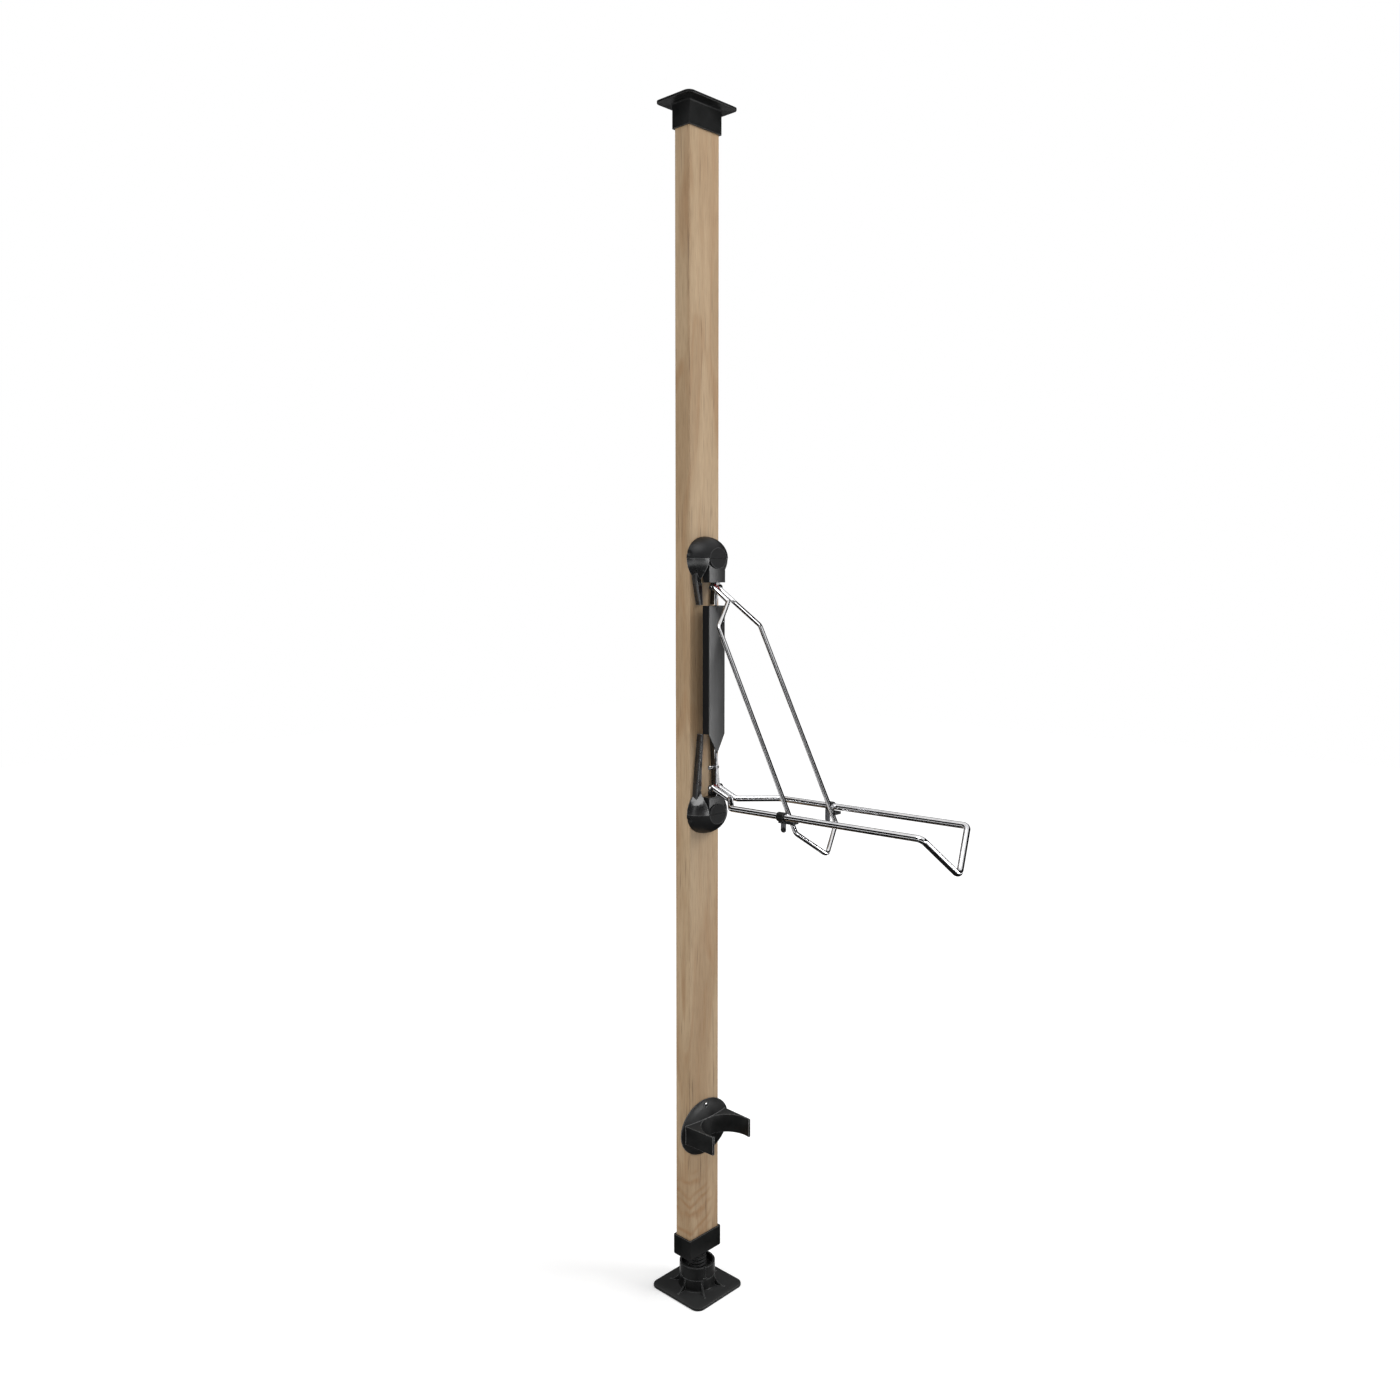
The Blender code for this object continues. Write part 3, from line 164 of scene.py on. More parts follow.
timberLook = {
    "pale": (0.455, 0.330, 0.205),
    "middle": (0.365, 0.250, 0.145),
    "streak": (0.315, 0.178, 0.084),
    "dash": (0.130, 0.080, 0.045),
    "fibreSpan": (0.30, 0.52, 0.75),
    "fibreTints": ((0.84, 0.82, 0.79), (1.0, 1.0, 1.0), (1.05, 1.05, 1.05)),
    "zoneSpan": (0.38, 0.62),
    "roughness": (0.52, 0.68),
    "specular": 0.25,
    "bump": 0.2,
    "bumpDepth": 0.2,
    "rounding": 0.8,
    # Each grain's stretch in x, y and z, then its noise: scale, detail, roughness, distortion.
    "zoneGrain": ((1.0, 0.8, 0.16), 13.0, 2.0, 0.4, 0.5),
    "lineGrain": ((1.0, 1.0, 0.12), 24.0, 2.0),
    "dashGrain": ((1.0, 1.0, 0.035), 260.0, 1.0),
    "streakGrain": ((1.0, 1.0, 0.03), 90.0, 3.0, 0.6),
    "fibreGrain": ((1.0, 1.0, 0.05), 520.0, 2.0, 0.6),
    "driftNoise": (14.0, 2.0),
    "patchNoise": (30.0, 2.0),
    "lineTurn": (0.0, 0.0, 0.7),
    # Each share's low and high, then the two values of its pattern between which it grows.
    "ringShare": (0.0, 1.0, 0.1, 1.0),
    "lineShare": (0.0, 0.55, 0.42, 0.62),
    "streakShare": (0.0, 0.40, 0.48, 0.80),
    "dashShare": (0.0, 0.6, 0.68, 0.76),
    "archShare": (0.0, 1.0, -0.5, 1.0),
    "patchShare": (0.15, 0.75, 0.40, 0.60),
    "archTop": (1.0, 0.0, 0.25, 0.31),
    "archSide": (1.0, 0.0, 0.050, 0.075),
    "ringCount": 30.0,
    # The arches' sizes, in metres.
    "archFrom": 0.045,
    "archRise": 6.0,
    "archGap": 0.026,
    "archDrift": 0.07,
}


def makeTimber(look):
    # Pale and darker zones, thin growth lines that follow them, short fibres and long faint streaks.
    desk = NodeDesk("planedTimber")
    zone = desk.grain(*look["zoneGrain"])
    ring = desk.sums("SINE", desk.sums("MULTIPLY", zone, look["ringCount"]))
    where = desk.grain(*look["lineGrain"], turn=look["lineTurn"])
    ringLine = desk.spread(ring, *look["ringShare"])
    line = desk.sums("MULTIPLY", ringLine, desk.spread(where, *look["lineShare"]))
    dash = desk.grain(*look["dashGrain"])
    streak = desk.grain(*look["streakGrain"])
    # Arched bands near the foot, as where a saw runs across the growth rings.
    apart = desk.add("ShaderNodeSeparateXYZ")
    desk.link(desk.place, apart.inputs["Vector"])
    across = desk.sums("ADD", apart.outputs["X"], look["archFrom"])
    rise = desk.sums("MULTIPLY", desk.sums("MULTIPLY", across, across), look["archRise"])
    drift = desk.sums("MULTIPLY", desk.noise(desk.place, *look["driftNoise"]), look["archDrift"])
    level = desk.sums("ADD", desk.sums("SUBTRACT", apart.outputs["Z"], rise), drift)
    wavy = desk.sums("SINE", desk.sums("MULTIPLY", level, 2 * math.pi / look["archGap"]))
    patchy = desk.spread(desk.noise(desk.place, *look["patchNoise"]), *look["patchShare"])
    arch = desk.sums("MULTIPLY", desk.spread(wavy, *look["archShare"]), patchy)
    arch = desk.sums("MULTIPLY", arch, desk.spread(apart.outputs["Z"], *look["archTop"]))
    arch = desk.sums("MULTIPLY", arch, desk.spread(across, *look["archSide"]))
    fibre = desk.grain(*look["fibreGrain"])
    colour = desk.ramp(zone, look["zoneSpan"], (look["middle"], look["pale"]))
    colour = desk.mix(line, colour, look["streak"])
    colour = desk.mix(arch, colour, look["streak"])
    colour = desk.mix(desk.spread(streak, *look["streakShare"]), colour, look["streak"])
    colour = desk.mix(desk.spread(dash, *look["dashShare"]), colour, look["dash"])
    shade = desk.ramp(fibre, look["fibreSpan"], look["fibreTints"])
    colour = desk.mix(1.0, colour, shade, "MULTIPLY")
    desk.link(colour, desk.shader.inputs["Base Color"])
    desk.link(desk.spread(fibre, *look["roughness"]), desk.shader.inputs["Roughness"])
    desk.setPlain(specular=look["specular"])
    desk.relief(fibre, look["bump"], look["bumpDepth"] * mm, look["rounding"] * mm)
    return desk.material


# Each look's edge colour is painted in lines along the sharp edges: a painted highlight where it is
# lighter than the base, painted shade on the red, where it is darker.
mouldedLook = {
    "cloudNoise": (28.0, 3.0),
    "cloudSpan": (0.35, 0.75),
    "fade": 0.035,
    "edge": 0.8,
    "edgeSpan": (0.75, 0.96),
    "dust": None,
    "dustSpan": (0.7, 0.98),
    "bumpDepth": 0.1,
    "rounding": 0.6,
}
plasticLook = {
    **mouldedLook,
    "base": (0.0060, 0.0063, 0.0063),
    "worn": (0.170, 0.173, 0.174),
    "edge": 1.3,
    "edgeSpan": (0.78, 0.985),
    "dust": (0.026, 0.0265, 0.0265),
    "roughness": (0.34, 0.46),
    "specular": 0.16,
    "grainNoise": (1500.0, 2.0),
    "bump": 0.10,
}
restLook = {
    **plasticLook,
    "base": (0.0085, 0.0088, 0.0088),
    "worn": (0.360, 0.363, 0.364),
    "edge": 1.8,
}
castingLook = {
    **mouldedLook,
    "base": (0.0085, 0.0088, 0.0095),
    "worn": (0.330, 0.334, 0.340),
    "edge": 1.5,
    "edgeSpan": (0.78, 0.985),
    "roughness": (0.23, 0.31),
    "specular": 0.9,
    "grainNoise": (700.0, 2.0),
    "bump": 0.05,
}
coverLook = {
    **mouldedLook,
    "base": (0.0095, 0.0098, 0.0104),
    "worn": (0.030, 0.031, 0.032),
    "roughness": (0.36, 0.42),
    "specular": 0.38,
    "grainNoise": (1700.0, 2.0),
    "bump": 0.06,
}
domeLook = {
    **coverLook,
    "roughness": (0.42, 0.48),
    "specular": 0.24,
}
# The bead is lighter than the cover: a painted highlight along the disc's rim.
beadHighlightLook = {
    **domeLook,
    "base": (0.034, 0.035, 0.036),
    "worn": (0.040, 0.041, 0.042),
}
# The disc's own duller finish. The same darker, less shiny copy on the upright sides is painted shade.
discAndSideShadeLook = {
    **coverLook,
    "base": (0.0085, 0.0088, 0.0094),
    "worn": (0.022, 0.0225, 0.0235),
    "roughness": (0.46, 0.54),
    "specular": 0.10,
}
redLook = {
    **mouldedLook,
    "base": (0.40, 0.012, 0.012),
    "worn": (0.30, 0.010, 0.010),
    "roughness": (0.35, 0.5),
    "specular": 0.4,
    "grainNoise": (1500.0, 2.0),
    "bump": 0.05,
}


def makeMoulded(name, look):
    # A cloudy dark base, lighter on the faces that look up, and painted highlight lines along the edges
    # (painted shade lines on the red, whose edge colour is darker than its base).
    desk = NodeDesk(name)
    cloud = desk.noise(desk.place, *look["cloudNoise"])
    grain = desk.noise(desk.place, *look["grainNoise"])
    # Mask for the painted highlight lines along the edges.
    worn = desk.edgeMask(look["edge"] * mm, *look["edgeSpan"])
    fade = look["fade"]
    faded = tuple((1 - fade) * base + fade * edge for base, edge in zip(look["base"], look["worn"]))
    colour = desk.ramp(cloud, look["cloudSpan"], (look["base"], faded))
    # A lighter colour on the faces that look up.
    if look["dust"]:
        apart = desk.add("ShaderNodeSeparateXYZ")
        desk.link(desk.add("ShaderNodeNewGeometry").outputs["Normal"], apart.inputs["Vector"])
        lookingUp = desk.spread(apart.outputs["Z"], 0.0, 1.0, *look["dustSpan"])
        colour = desk.mix(lookingUp, colour, look["dust"])
    # The painted highlight lines along the edges.
    colour = desk.mix(worn, colour, look["worn"])
    desk.link(colour, desk.shader.inputs["Base Color"])
    desk.link(desk.spread(cloud, *look["roughness"]), desk.shader.inputs["Roughness"])
    desk.setPlain(specular=look["specular"])
    desk.relief(grain, look["bump"], look["bumpDepth"] * mm, look["rounding"] * mm)
    return desk.material


chromeLook = {
    "base": (0.80, 0.80, 0.81),
    "faint": (0.70, 0.70, 0.72),
    "roughness": (0.11, 0.15),
    "polishNoise": (1900.0, 2.0),
    "cloudNoise": (40.0, 2.0),
    "cloudSpan": (0.3, 0.6),
    "bump": 0.01,
    "bumpDepth": 0.02,
}
steelLook = {
    **chromeLook,
    "base": (0.19, 0.19, 0.20),
    "faint": (0.11, 0.11, 0.12),
    "roughness": (0.28, 0.42),
    "polishNoise": (500.0, 2.0),
}


def makeMetal(name, look):
    desk = NodeDesk(name)
    polish = desk.noise(desk.place, *look["polishNoise"])
    cloud = desk.noise(desk.place, *look["cloudNoise"])
    colour = desk.ramp(cloud, look["cloudSpan"], (look["faint"], look["base"]))
    desk.link(colour, desk.shader.inputs["Base Color"])
    desk.link(desk.spread(polish, *look["roughness"]), desk.shader.inputs["Roughness"])
    desk.setPlain(metallic=1.0)
    desk.relief(polish, look["bump"], look["bumpDepth"] * mm)
    return desk.material


blackPlastic = makeMoulded("blackPlastic", plasticLook)
restPlastic = makeMoulded("restPlastic", restLook)
darkCover = makeMoulded("darkSatinCover", coverLook)
domeCover = makeMoulded("domeSatin", domeLook)
rolledEdge = makeMoulded("rolledEdge", beadHighlightLook)
dullCoverAndSideShade = makeMoulded("dullDisc", discAndSideShadeLook)
chrome = makeMetal("chromePlate", chromeLook)

slotFinish = {
    "timber": makeTimber(timberLook),
    "black_plastic": blackPlastic,
    "black_casting": makeMoulded("blackGlossCasting", castingLook),
    "dark_cover": darkCover,
    "chrome_bar": chrome,
    "dark_steel": makeMetal("darkZincSteel", steelLook),
    "red_plastic": makeMoulded("redPlastic", redLook),
}
ownFinish = {
    "upper_dome_cover": domeCover,
    "lower_dome_cover": domeCover,
    "wheel_rest": restPlastic,
}
for row in frame["record"]["subparts"]:
    nodeMaterials = frame["nodes"][row["node"]].data.materials
    nodeMaterials.clear()
    nodeMaterials.append(ownFinish.get(row["node"], slotFinish[row["material_slot"]]))

print("Pieces")

bodyOf = {member: body
          for body, members in frame["record"]["behaviour"]["bodies"].items()
          for member in members}
usualAngle = 35.0  # degrees
flatWithin = 0.5  # degrees
mergeWithin = 2e-6
onPlane = 1e-6
cutWithin = 1e-7


def pieceName(nodeName):
    first, *others = nodeName.split("_")
    return first + "".join(word.capitalize() for word in others)


def objectFrom(name, bm, *materials):
    mesh = bpy.data.meshes.new(name)
    bm.to_mesh(mesh)
    bm.free()
    for material in materials:
        mesh.materials.append(material)
    piece = bpy.data.objects.new(name, mesh)
    bpy.context.scene.collection.objects.link(piece)
    return piece


def newPiece(name, bm, material, body, nodes=(), smoothAngle=usualAngle):
    bm.normal_update()
    for face in bm.faces:
        face.smooth = True
    for edge in bm.edges:
        edge.smooth = len(edge.link_faces) == 2 and edge.calc_face_angle(0.0) < math.radians(smoothAngle)
    piece = objectFrom(name, bm, material)
    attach(piece, body)
    if nodes:
        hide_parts(*nodes)
    return piece


def shownMesh(piece):
    # The mesh that the piece's curve or modifiers make.
    graph = bpy.context.evaluated_depsgraph_get()
    return bpy.data.meshes.new_from_object(piece.evaluated_get(graph))


def cutAcross(bm, place, normal, **clearing):
    bmesh.ops.bisect_plane(bm, geom=bm.verts[:] + bm.edges[:] + bm.faces[:], dist=cutWithin,
                           plane_co=place, plane_no=normal, **clearing)


frontCrown = {
    "halfWidth": 24.7,
    "frontOut": 38.1,
    "fall": 1.7,
    "strips": 11,
    "frontWithin": 0.02,
    "shortest": 0.05,
}
pivotBlocks = ("upper_pivot_block", "lower_pivot_block")
secondFinishFaces = {
    "discs": pivotBlocks + ("upper_dome_cover", "lower_dome_cover"),
    "discOut": 40.0,
    "discNormal": 0.99,
    "sides": pivotBlocks + ("rail_channel",),
    "sideNormal": 0.95,
}
sharperAngle = {
    "upper_bracket": 15.0,
    "lower_bracket": 15.0,
    "upper_dome_cover": 18.0,
    "lower_dome_cover": 18.0,
    "upper_pivot_block": 6.0,
    "lower_pivot_block": 6.0,
}


def crownFront(bm, shape):
    # Lets a flat front fall away a little to both sides, as the strap's front does.
    half = shape["halfWidth"] * mm
    frontY = poleFront - shape["frontOut"] * mm
    for strip in range(1, shape["strips"]):
        cutAcross(bm, (half * (2 * strip / shape["strips"] - 1), 0, 0), (1, 0, 0))
    for vert in bm.verts:
        if abs(vert.co.y - frontY) < shape["frontWithin"] * mm:
            vert.co.y += shape["fall"] * mm * (vert.co.x / half) ** 2
    bmesh.ops.dissolve_degenerate(bm, edges=bm.edges, dist=shape["shortest"] * mm)


def dullDiscsAndShadedSides(bm, nodeName, shape):
    # The flat round face in front of each pivot takes the second, duller finish. The upright sides take
    # the same darker, less shiny finish as painted shade.
    bm.normal_update()
    for face in bm.faces:
        far = face.calc_center_median().y < poleFront - shape["discOut"] * mm
        if nodeName in shape["discs"] and face.normal.y < -shape["discNormal"] and far:
            face.material_index = 1
        # Upright sides: painted shade.
        if nodeName in shape["sides"] and abs(face.normal.x) > shape["sideNormal"]:
            face.material_index = 1


def smoothTwin(nodeName):
    # A merged, smooth-shaded twin of a CAD node.
    node = frame["nodes"][nodeName]
    bm = bmesh.new()
    bm.from_mesh(node.data)
    bmesh.ops.remove_doubles(bm, verts=bm.verts, dist=mergeWithin)
    bmesh.ops.dissolve_limit(bm, angle_limit=math.radians(flatWithin), verts=bm.verts, edges=bm.edges)
    if nodeName in pivotBlocks:
        crownFront(bm, frontCrown)
    takesSecondFinish = nodeName in secondFinishFaces["discs"] + secondFinishFaces["sides"]
    if takesSecondFinish:
        dullDiscsAndShadedSides(bm, nodeName, secondFinishFaces)
    twin = newPiece(pieceName(nodeName), bm, node.data.materials[0], bodyOf[nodeName], [nodeName],
                    sharperAngle.get(nodeName, usualAngle))
    if takesSecondFinish:
        twin.data.materials.append(dullCoverAndSideShade)


# Each corner of a bar: its half width, its reach from the pole's face and its drop below the pivot.
barShapes = {
    "lower_arm": {
        "name": "lowerWire",
        "pivotHeight": 1130.0,
        "radius": 6.3,
        "bend": 13.0,
        "tipBend": 12.0,
        "corners": [(9.0, 33.0, 0.0), (9.0, 83.6, 19.6), (76.6, 147.5, 19.9), (76.6, 601.0, 11.9),
                    (0.0, 631.4, 86.4)],
    },
    "upper_arm": {
        "name": "upperWire",
        "pivotHeight": 1556.0,
        "radius": 4.8,
        "bend": 11.0,
        "tipBend": 12.0,
        "corners": [(8.0, 33.0, 0.0), (8.0, 76.0, 29.1), (64.07, 101.2, 80.6), (64.07, 306.0, 474.5),
                    (0.0, 333.1, 523.2)],
    },
}
barFineness = {
    "bendSteps": 10,
    "spacing": 12.0,
    "roundness": 7,
    "endSegments": 32,
    "endRings": 20,
    "endShare": 0.9995,
    "smoothAngle": 60.0,
}


def arcAt(before, corner, after, radius, steps):
    back = (before - corner).normalized()
    ahead = (after - corner).normalized()
    turn = math.pi - back.angle(ahead)
    middle = corner + (back + ahead).normalized() * (radius / math.cos(turn / 2))
    spoke = corner + back * radius * math.tan(turn / 2) - middle
    normal = back.cross(ahead).normalized()
    return [middle + Matrix.Rotation(-turn * step / steps, 3, normal) @ spoke
            for step in range(steps + 1)]


def closerPoints(path, spacing):
    # Extra points on the straight runs, so that the tube's faces stay short.
    filled = [path[0]]
    for before, after in zip(path, path[1:]):
        count = max(1, math.ceil((after - before).length / spacing))
        filled += [before.lerp(after, step / count) for step in range(1, count + 1)]
    return filled


def tubeAlong(path, radius, roundness):
    curve = bpy.data.curves.new("route", "CURVE")
    curve.dimensions = "3D"
    curve.bevel_depth = radius
    curve.bevel_resolution = roundness
    curve.use_fill_caps = True
    spline = curve.splines.new("POLY")
    spline.points.add(len(path) - 1)
    for point, place in zip(spline.points, path):
        point.co = (*place, 1.0)
    guide = bpy.data.objects.new("guide", curve)
    bpy.context.scene.collection.objects.link(guide)
    bm = bmesh.new()
    bm.from_mesh(shownMesh(guide))
    bpy.data.objects.remove(guide)
    bpy.data.curves.remove(curve)
    return bm


def buildWire(nodeName, shape, fineness):
    side = [Vector((x * mm, poleFront - out * mm, (shape["pivotHeight"] - drop) * mm))
            for x, out, drop in shape["corners"]]
    corners = side + [Vector((-point.x, point.y, point.z)) for point in reversed(side[:-1])]
    path = [corners[0]]
    for index in range(1, len(corners) - 1):
        bend = shape["tipBend"] if index == len(side) - 1 else shape["bend"]
        path += arcAt(*corners[index - 1:index + 2], bend * mm, fineness["bendSteps"])
    path.append(corners[-1])
    path = closerPoints(path, fineness["spacing"] * mm)
    radius = shape["radius"] * mm
    bm = tubeAlong(path, radius, fineness["roundness"])
    for end in (path[0], path[-1]):
        ball = bmesh.ops.create_uvsphere(bm, u_segments=fineness["endSegments"],
                                         v_segments=fineness["endRings"],
                                         radius=radius * fineness["endShare"])
        bmesh.ops.translate(bm, verts=ball["verts"], vec=end)
    bmesh.ops.recalc_face_normals(bm, faces=bm.faces)
    newPiece(shape["name"], bm, chrome, bodyOf[nodeName], [nodeName], fineness["smoothAngle"])


threadShape = {
    "pitch": 8.0,
    "crest": 20.4,
    "root": 18.2,
    "flanks": (0.22, 0.40, 0.60, 0.78),
    "topGap": 0.3,
    "stepsPerTurn": 48,
    "smoothAngle": 40.0,
}


def buildThreadedStem(shape):
    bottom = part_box("jack_stem")[0][2]
    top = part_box("post_socket")[0][2] - shape["topGap"] * mm
    pitch = shape["pitch"] * mm
    crest = shape["crest"] * mm
    root = shape["root"] * mm
    rise, crestStart, crestEnd, fall = shape["flanks"]
    profile = [(root, 0.0), (root, rise), (crest, crestStart), (crest, crestEnd), (root, fall),
               (root, 1.0)]
    bm = bmesh.new()
    verts = [bm.verts.new((radius, 0.0, bottom - pitch + share * pitch)) for radius, share in profile]
    edges = [bm.edges.new(pair) for pair in zip(verts, verts[1:])]
    turns = math.ceil((top - bottom) / pitch) + 1
    steps = shape["stepsPerTurn"]
    bmesh.ops.spin(bm, geom=verts + edges, cent=(0, 0, 0), axis=(0, 0, 1), angle=2 * math.pi * turns,
                   steps=steps * turns, dvec=(0, 0, pitch / steps), use_merge=False)
    bmesh.ops.remove_doubles(bm, verts=bm.verts, dist=onPlane)
    for level, normal in ((bottom, (0, 0, -1)), (top, (0, 0, 1))):
        cutAcross(bm, (0, 0, level), normal, clear_outer=True)
        rim = [edge for edge in bm.edges if edge.is_boundary
               and all(abs(vert.co.z - level) < onPlane for vert in edge.verts)]
        bmesh.ops.edgeloop_fill(bm, edges=rim)
    bmesh.ops.recalc_face_normals(bm, faces=bm.faces)
    newPiece("threadedStem", bm, blackPlastic, bodyOf["jack_stem"], ["jack_stem"], shape["smoothAngle"])


screwHead = {
    "radius": 4.5,
    "height": 2.8,
    "segments": 40,
    "roundShare": 0.62,
    "roundSegments": 5,
    "slotWidth": 1.2,
    "slotLength": 5.4,
    "slotDepth": 1.5,
    "slotTurn": 0.4,
}
restScrews = ("rest_screw_top", "rest_screw_bottom")


def crossCutter(centre, shape):
    bm = bmesh.new()
    size = Matrix.Diagonal((shape["slotLength"] * mm, 2 * shape["slotDepth"] * mm,
                            shape["slotWidth"] * mm, 1.0))
    for quarter in (0.0, math.pi / 2):
        bar = bmesh.ops.create_cube(bm, size=1.0)
        turn = Matrix.Rotation(quarter + shape["slotTurn"], 4, "Y")
        bmesh.ops.transform(bm, matrix=Matrix.Translation(centre) @ turn @ size, verts=bar["verts"])
    return objectFrom("crossCutter", bm)


def buildCrossScrew(nodeName, shape):
    low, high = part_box(nodeName)
    centre = Vector(((low[0] + high[0]) / 2, low[1], (low[2] + high[2]) / 2))
    height = shape["height"] * mm
    bm = bmesh.new()
    bmesh.ops.create_circle(bm, cap_ends=True, segments=shape["segments"], radius=shape["radius"] * mm)
    lifted = bmesh.ops.extrude_face_region(bm, geom=list(bm.faces))
    raised = [item for item in lifted["geom"] if isinstance(item, bmesh.types.BMVert)]
    bmesh.ops.translate(bm, verts=raised, vec=(0, 0, height))
    rim = [edge for edge in bm.edges if all(vert.co.z > height / 2 for vert in edge.verts)]
    bmesh.ops.bevel(bm, geom=rim, offset=height * shape["roundShare"], segments=shape["roundSegments"],
                    profile=0.5, affect="EDGES", material=-1)
    bmesh.ops.recalc_face_normals(bm, faces=bm.faces)
    place = Matrix.Translation(centre + Vector((0, height, 0))) @ Matrix.Rotation(math.pi / 2, 4, "X")
    bmesh.ops.transform(bm, matrix=place, verts=bm.verts)
    screw = newPiece(pieceName(nodeName), bm, chrome, bodyOf[nodeName], [nodeName])
    cutter = crossCutter(centre, shape)
    recess = screw.modifiers.new("recess", "BOOLEAN")
    recess.operation = "DIFFERENCE"
    recess.use_self = True
    recess.object = cutter
    recessed = shownMesh(screw)
    screw.modifiers.clear()
    screw.data = recessed
    bpy.data.objects.remove(cutter)


glidePad = {
    "inner": 7.0,
    "outer": 22.0,
    "frontOut": 39.6,
    "backOut": 20.0,
    "rounding": 3.0,
    "roundSegments": 5,
    "play": 0.03,
}


def buildGlidePads(end, shape):
    # Two thin pads in the gap between a pivot block and its dome cover.
    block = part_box(end + "_pivot_block")
    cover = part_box(end + "_dome_cover")
    levels = (block[1][2], cover[0][2]) if end == "upper" else (cover[1][2], block[0][2])
    width = (shape["outer"] - shape["inner"]) * mm
    depth = (shape["frontOut"] - shape["backOut"]) * mm
    height = levels[1] - levels[0] - 2 * shape["play"] * mm
    for sign, side in ((-1, "Left"), (1, "Right")):
        bm = bmesh.new()
        bmesh.ops.create_cube(bm, size=1.0)
        bmesh.ops.scale(bm, vec=(width, depth, height), verts=bm.verts)
        upright = [edge for edge in bm.edges
                   if abs(edge.verts[0].co.z - edge.verts[1].co.z) > height / 2]
        bmesh.ops.bevel(bm, geom=upright, offset=shape["rounding"] * mm, segments=shape["roundSegments"],
                        profile=0.5, affect="EDGES", material=-1)
        centre = (sign * (shape["inner"] + shape["outer"]) / 2 * mm,
                  poleFront - (shape["frontOut"] + shape["backOut"]) / 2 * mm, sum(levels) / 2)
        bmesh.ops.translate(bm, verts=bm.verts, vec=centre)
        bmesh.ops.recalc_face_normals(bm, faces=bm.faces)
        pad = newPiece(end + "GlidePad" + side, bm, blackPlastic, bodyOf[end + "_pivot_block"])


discBead = {
    "coverSize": (24.9, 21.3),
    "blockSize": (23.8, 21.0),
    "radius": 0.8,
    "roundness": 3,
    "sunk": 0.35,
    "steps": 40,
    "endGap": 0.01,
    "smoothAngle": 50.0,
}


def buildDiscBead(end, shape):
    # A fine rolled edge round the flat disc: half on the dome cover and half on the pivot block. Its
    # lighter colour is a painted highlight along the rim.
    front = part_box(end + "_dome_cover")[0][1] + shape["sunk"] * mm
    coverUp = 1 if end == "upper" else -1
    turns = [math.pi * (shape["endGap"] + (1 - 2 * shape["endGap"]) * step / shape["steps"])
             for step in range(shape["steps"] + 1)]
    for half, node, way, (width, height) in (
            ("Cover", end + "_dome_cover", coverUp, shape["coverSize"]),
            ("Block", end + "_pivot_block", -coverUp, shape["blockSize"])):
        low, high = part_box(node)
        seam = low[2] if way > 0 else high[2]
        path = [Vector((width * mm * math.cos(turn), front, seam + way * height * mm * math.sin(turn)))
                for turn in turns]
        bm = tubeAlong(path, shape["radius"] * mm, shape["roundness"])
        bmesh.ops.recalc_face_normals(bm, faces=bm.faces)
        bead = newPiece(end + half + "Bead", bm, rolledEdge, bodyOf[node], (), shape["smoothAngle"])


for nodeName, shape in barShapes.items():
    buildWire(nodeName, shape, barFineness)
buildThreadedStem(threadShape)
for nodeName in restScrews:
    buildCrossScrew(nodeName, screwHead)
# The rest's screws are made above. The brackets' screws are nearly out of sight and stay plain.
ownShape = (*barShapes, "jack_stem")
for nodeName in frame["nodes"]:
    if nodeName not in ownShape and "_screw_" not in nodeName:
        smoothTwin(nodeName)
for end in ("upper", "lower"):
    buildGlidePads(end, glidePad)
    buildDiscBead(end, discBead)

print("Studio")

white = (1.0, 1.0, 1.0, 1.0)
studio = {
    "worldLight": 0.52,
    "floorHalf": 9.0,
    "floorDrop": 0.0002,
    "floorColour": (0.86, 0.86, 0.86, 1.0),
    "floorRoughness": 0.9,
    "floorLift": (0.30, 0.62),
    "liftSpan": (0.2, 2.6),
    "lampAim": (0.0, 0.0, 1.3),
    "cardAim": (0.0, 0.0, 1.4),
}
panels = {
    "keyPanel": {"place": (1.8, -3.1, 4.0), "size": (1.6, 1.6), "power": 90.0},
    "fillPanel": {"place": (-4.0, 0.4, 2.0), "size": (2.0, 3.0), "power": 52.0},
    "rimPanel": {"place": (2.6, -1.2, 3.4), "size": (1.6, 2.4), "power": 40.0},
}
tent = {
    "colour": (0.01, 0.01, 0.01, 1.0),
    "radius": 6.5,
    "foot": 0.002,
    "height": 6.6,
    "wallSpans": ((-100.0, 182.0), (-166.0, -112.0)),  # degrees
    "wallSteps": 40,
    "ring": (0.12, 3.2),
    "ringSteps": 60,
}
cards = {
    "strapCard": {"place": (2.45, -4.24, 1.1), "size": (1.1, 1.9), "strength": 20.5},
    "cupCard": {"place": (-1.5, -0.45, 4.3), "size": (2.6, 2.2), "strength": 4.6},
    "seamCard": {"place": (-0.55, -4.9, 1.05), "size": (2.2, 1.2), "strength": 5.0},
}


def whenSeen(tree):
    # 1 for camera, glossy and transmission rays.
    path = tree.nodes.new("ShaderNodeLightPath")
    seen = path.outputs["Is Camera Ray"]
    for ray in ("Is Glossy Ray", "Is Transmission Ray"):
        either = tree.nodes.new("ShaderNodeMath")
        either.operation = "MAXIMUM"
        tree.links.new(seen, either.inputs[0])
        tree.links.new(path.outputs[ray], either.inputs[1])
        seen = either.outputs[0]
    return seen


def aimed(place, target):
    return (Vector(target) - Vector(place)).to_track_quat("-Z", "Y").to_euler()


def buildWorld():
    world = bpy.data.worlds.new("studioWorld")
    world.use_nodes = True
    tree = world.node_tree
    background = tree.nodes["Background"]
    background.inputs["Color"].default_value = white
    strength = tree.nodes.new("ShaderNodeMapRange")
    strength.inputs["To Min"].default_value = studio["worldLight"]
    strength.inputs["To Max"].default_value = 1.0
    tree.links.new(whenSeen(tree), strength.inputs["Value"])
    tree.links.new(strength.outputs["Result"], background.inputs["Strength"])
    bpy.context.scene.world = world


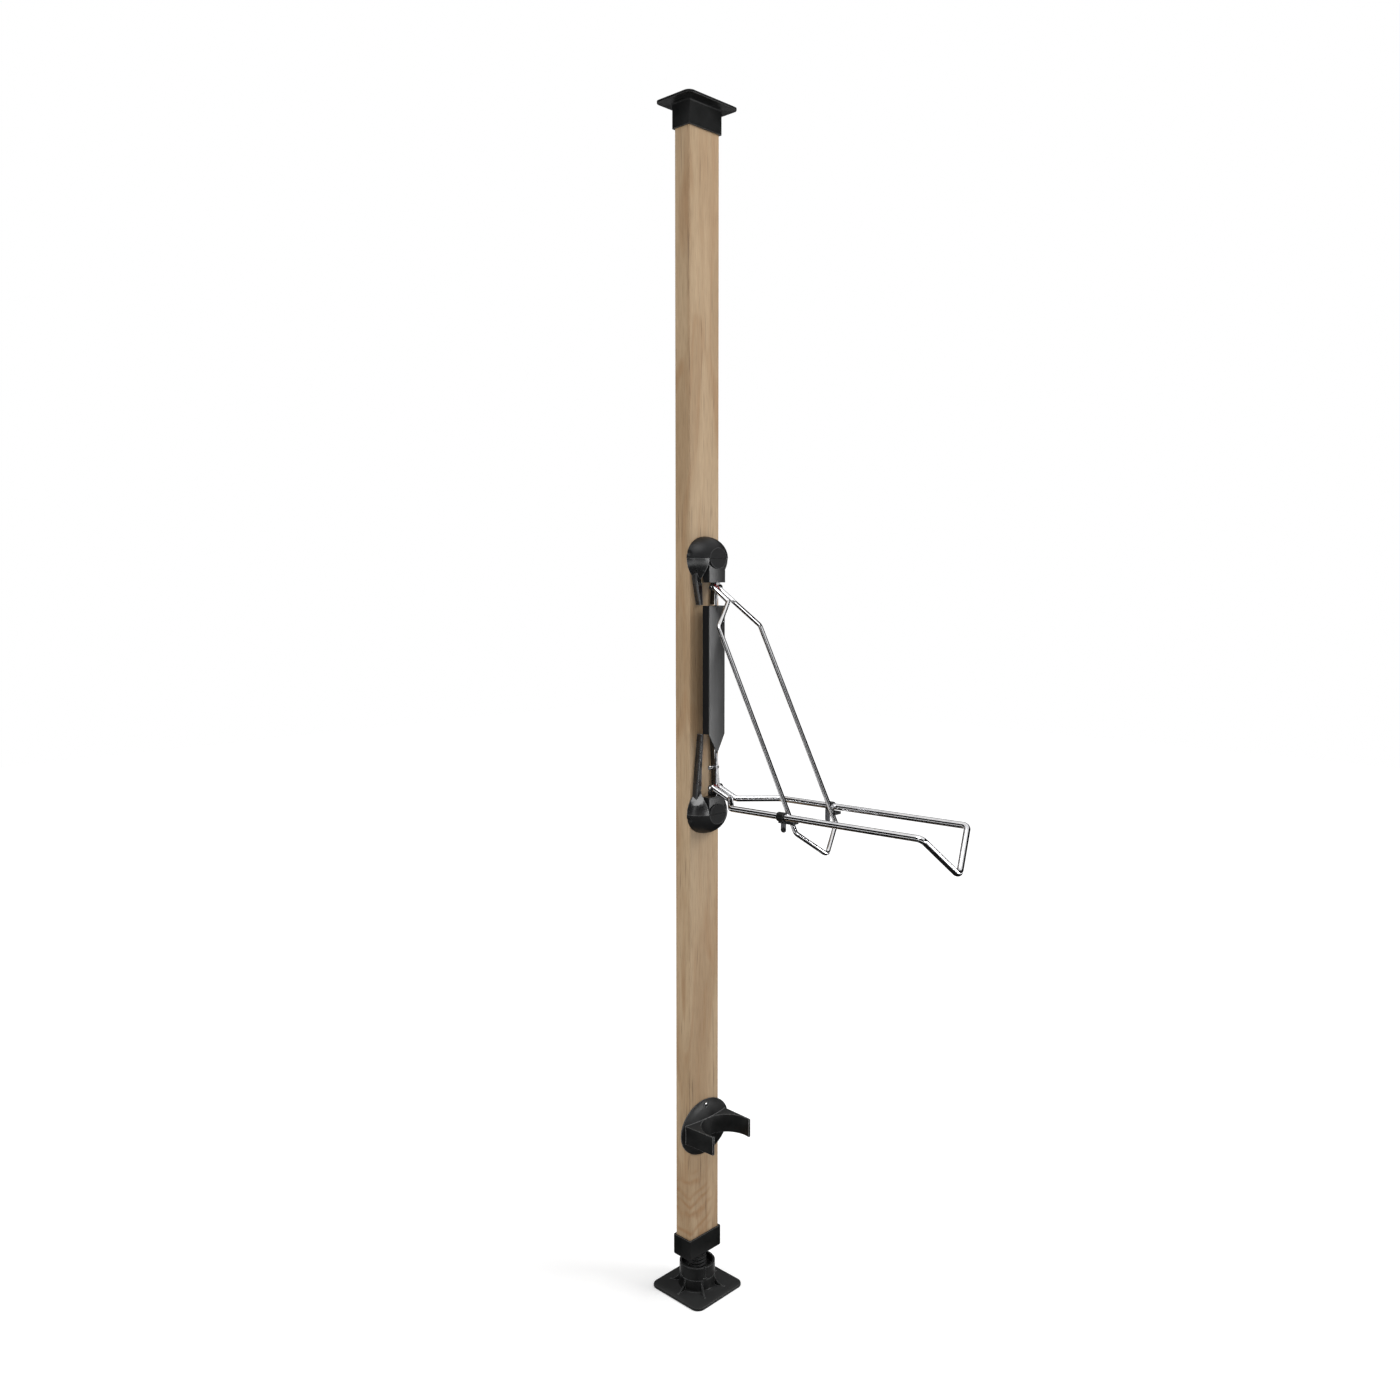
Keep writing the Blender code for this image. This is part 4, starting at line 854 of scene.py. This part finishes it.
def buildFloor():
    bm = bmesh.new()
    bmesh.ops.create_grid(bm, x_segments=1, y_segments=1, size=studio["floorHalf"])
    desk = NodeDesk("paleFloor")
    desk.setPlain(colour=studio["floorColour"], roughness=studio["floorRoughness"], specular=0.0,
                  glow=white)
    # The lift grows away from the foot, so that the shadow shows near it and the far floor is white.
    away = desk.add("ShaderNodeVectorMath", operation="LENGTH")
    desk.link(desk.place, away.inputs[0])
    grow = desk.spread(away.outputs["Value"], *studio["floorLift"], *studio["liftSpan"])
    lift = desk.sums("MULTIPLY", whenSeen(desk.tree), grow)
    desk.link(lift, desk.shader.inputs["Emission Strength"])
    floor = objectFrom("floor", bm, desk.material)
    floor.location.z = -studio["floorDrop"]


def buildPanel(name, panel):
    light = bpy.data.lights.new(name, "AREA")
    light.shape = "RECTANGLE"
    light.size, light.size_y = panel["size"]
    light.energy = panel["power"]
    lamp = bpy.data.objects.new(name, light)
    bpy.context.scene.collection.objects.link(lamp)
    lamp.visible_glossy = False
    lamp.location = panel["place"]
    lamp.rotation_euler = aimed(panel["place"], studio["lampAim"])


def reflectionOnly(name, bm, colour, glowStrength):
    # A plain piece of the stage that nothing but reflections see.
    desk = NodeDesk(name)
    desk.setPlain(colour=colour, roughness=1.0, specular=0.0, glow=white, glowStrength=glowStrength)
    piece = objectFrom(name, bm, desk.material)
    piece.visible_camera = False
    piece.visible_diffuse = False
    piece.visible_shadow = False
    piece.visible_transmission = False
    return piece


def buildTent():
    # A dark wall and a dark floor ring; white shows above and between them.
    bm = bmesh.new()
    foot = tent["foot"]
    for start, stop in tent["wallSpans"]:
        turn = Matrix.Rotation(math.radians(start), 3, "Z")
        verts = [bm.verts.new(turn @ Vector((tent["radius"], 0.0, height)))
                 for height in (foot, tent["height"])]
        bmesh.ops.spin(bm, geom=[*verts, bm.edges.new(verts)], cent=(0, 0, 0), axis=(0, 0, 1),
                       angle=math.radians(stop - start), steps=tent["wallSteps"])
    verts = [bm.verts.new((radius, 0.0, foot)) for radius in tent["ring"]]
    bmesh.ops.spin(bm, geom=[*verts, bm.edges.new(verts)], cent=(0, 0, 0), axis=(0, 0, 1),
                   angle=2 * math.pi, steps=tent["ringSteps"], use_merge=True)
    reflectionOnly("darkTent", bm, tent["colour"], 0.0)


def buildCard(name, card):
    bm = bmesh.new()
    bmesh.ops.create_grid(bm, x_segments=1, y_segments=1, size=0.5)  # a square with sides of 1
    bmesh.ops.scale(bm, vec=(*card["size"], 1.0), verts=bm.verts)
    piece = reflectionOnly(name, bm, (0.0, 0.0, 0.0, 1.0), card["strength"])
    piece.location = card["place"]
    piece.rotation_euler = aimed(card["place"], studio["cardAim"])


photoView = {
    "lens": 30.675,
    "sensor": 36.0,
    "shiftUp": -0.03025,
    "place": (-1.8447, -1.7743, 1.5862),
    "lookDown": 4.064,
    "turn": -46.252,
}


def buildCamera(view):
    data = bpy.data.cameras.new("photoCamera")
    data.lens = view["lens"]
    data.sensor_width = view["sensor"]
    data.shift_y = view["shiftUp"]
    camera = bpy.data.objects.new("photoCamera", data)
    bpy.context.scene.collection.objects.link(camera)
    camera.location = view["place"]
    camera.rotation_euler = (math.radians(90 - view["lookDown"]), 0.0, math.radians(view["turn"]))
    bpy.context.scene.camera = camera


buildWorld()
buildFloor()
buildTent()
for name, card in cards.items():
    buildCard(name, card)
for name, panel in panels.items():
    buildPanel(name, panel)
buildCamera(photoView)
bpy.context.scene.view_settings.view_transform = "Standard"
bpy.context.view_layer.update()
print("Done")
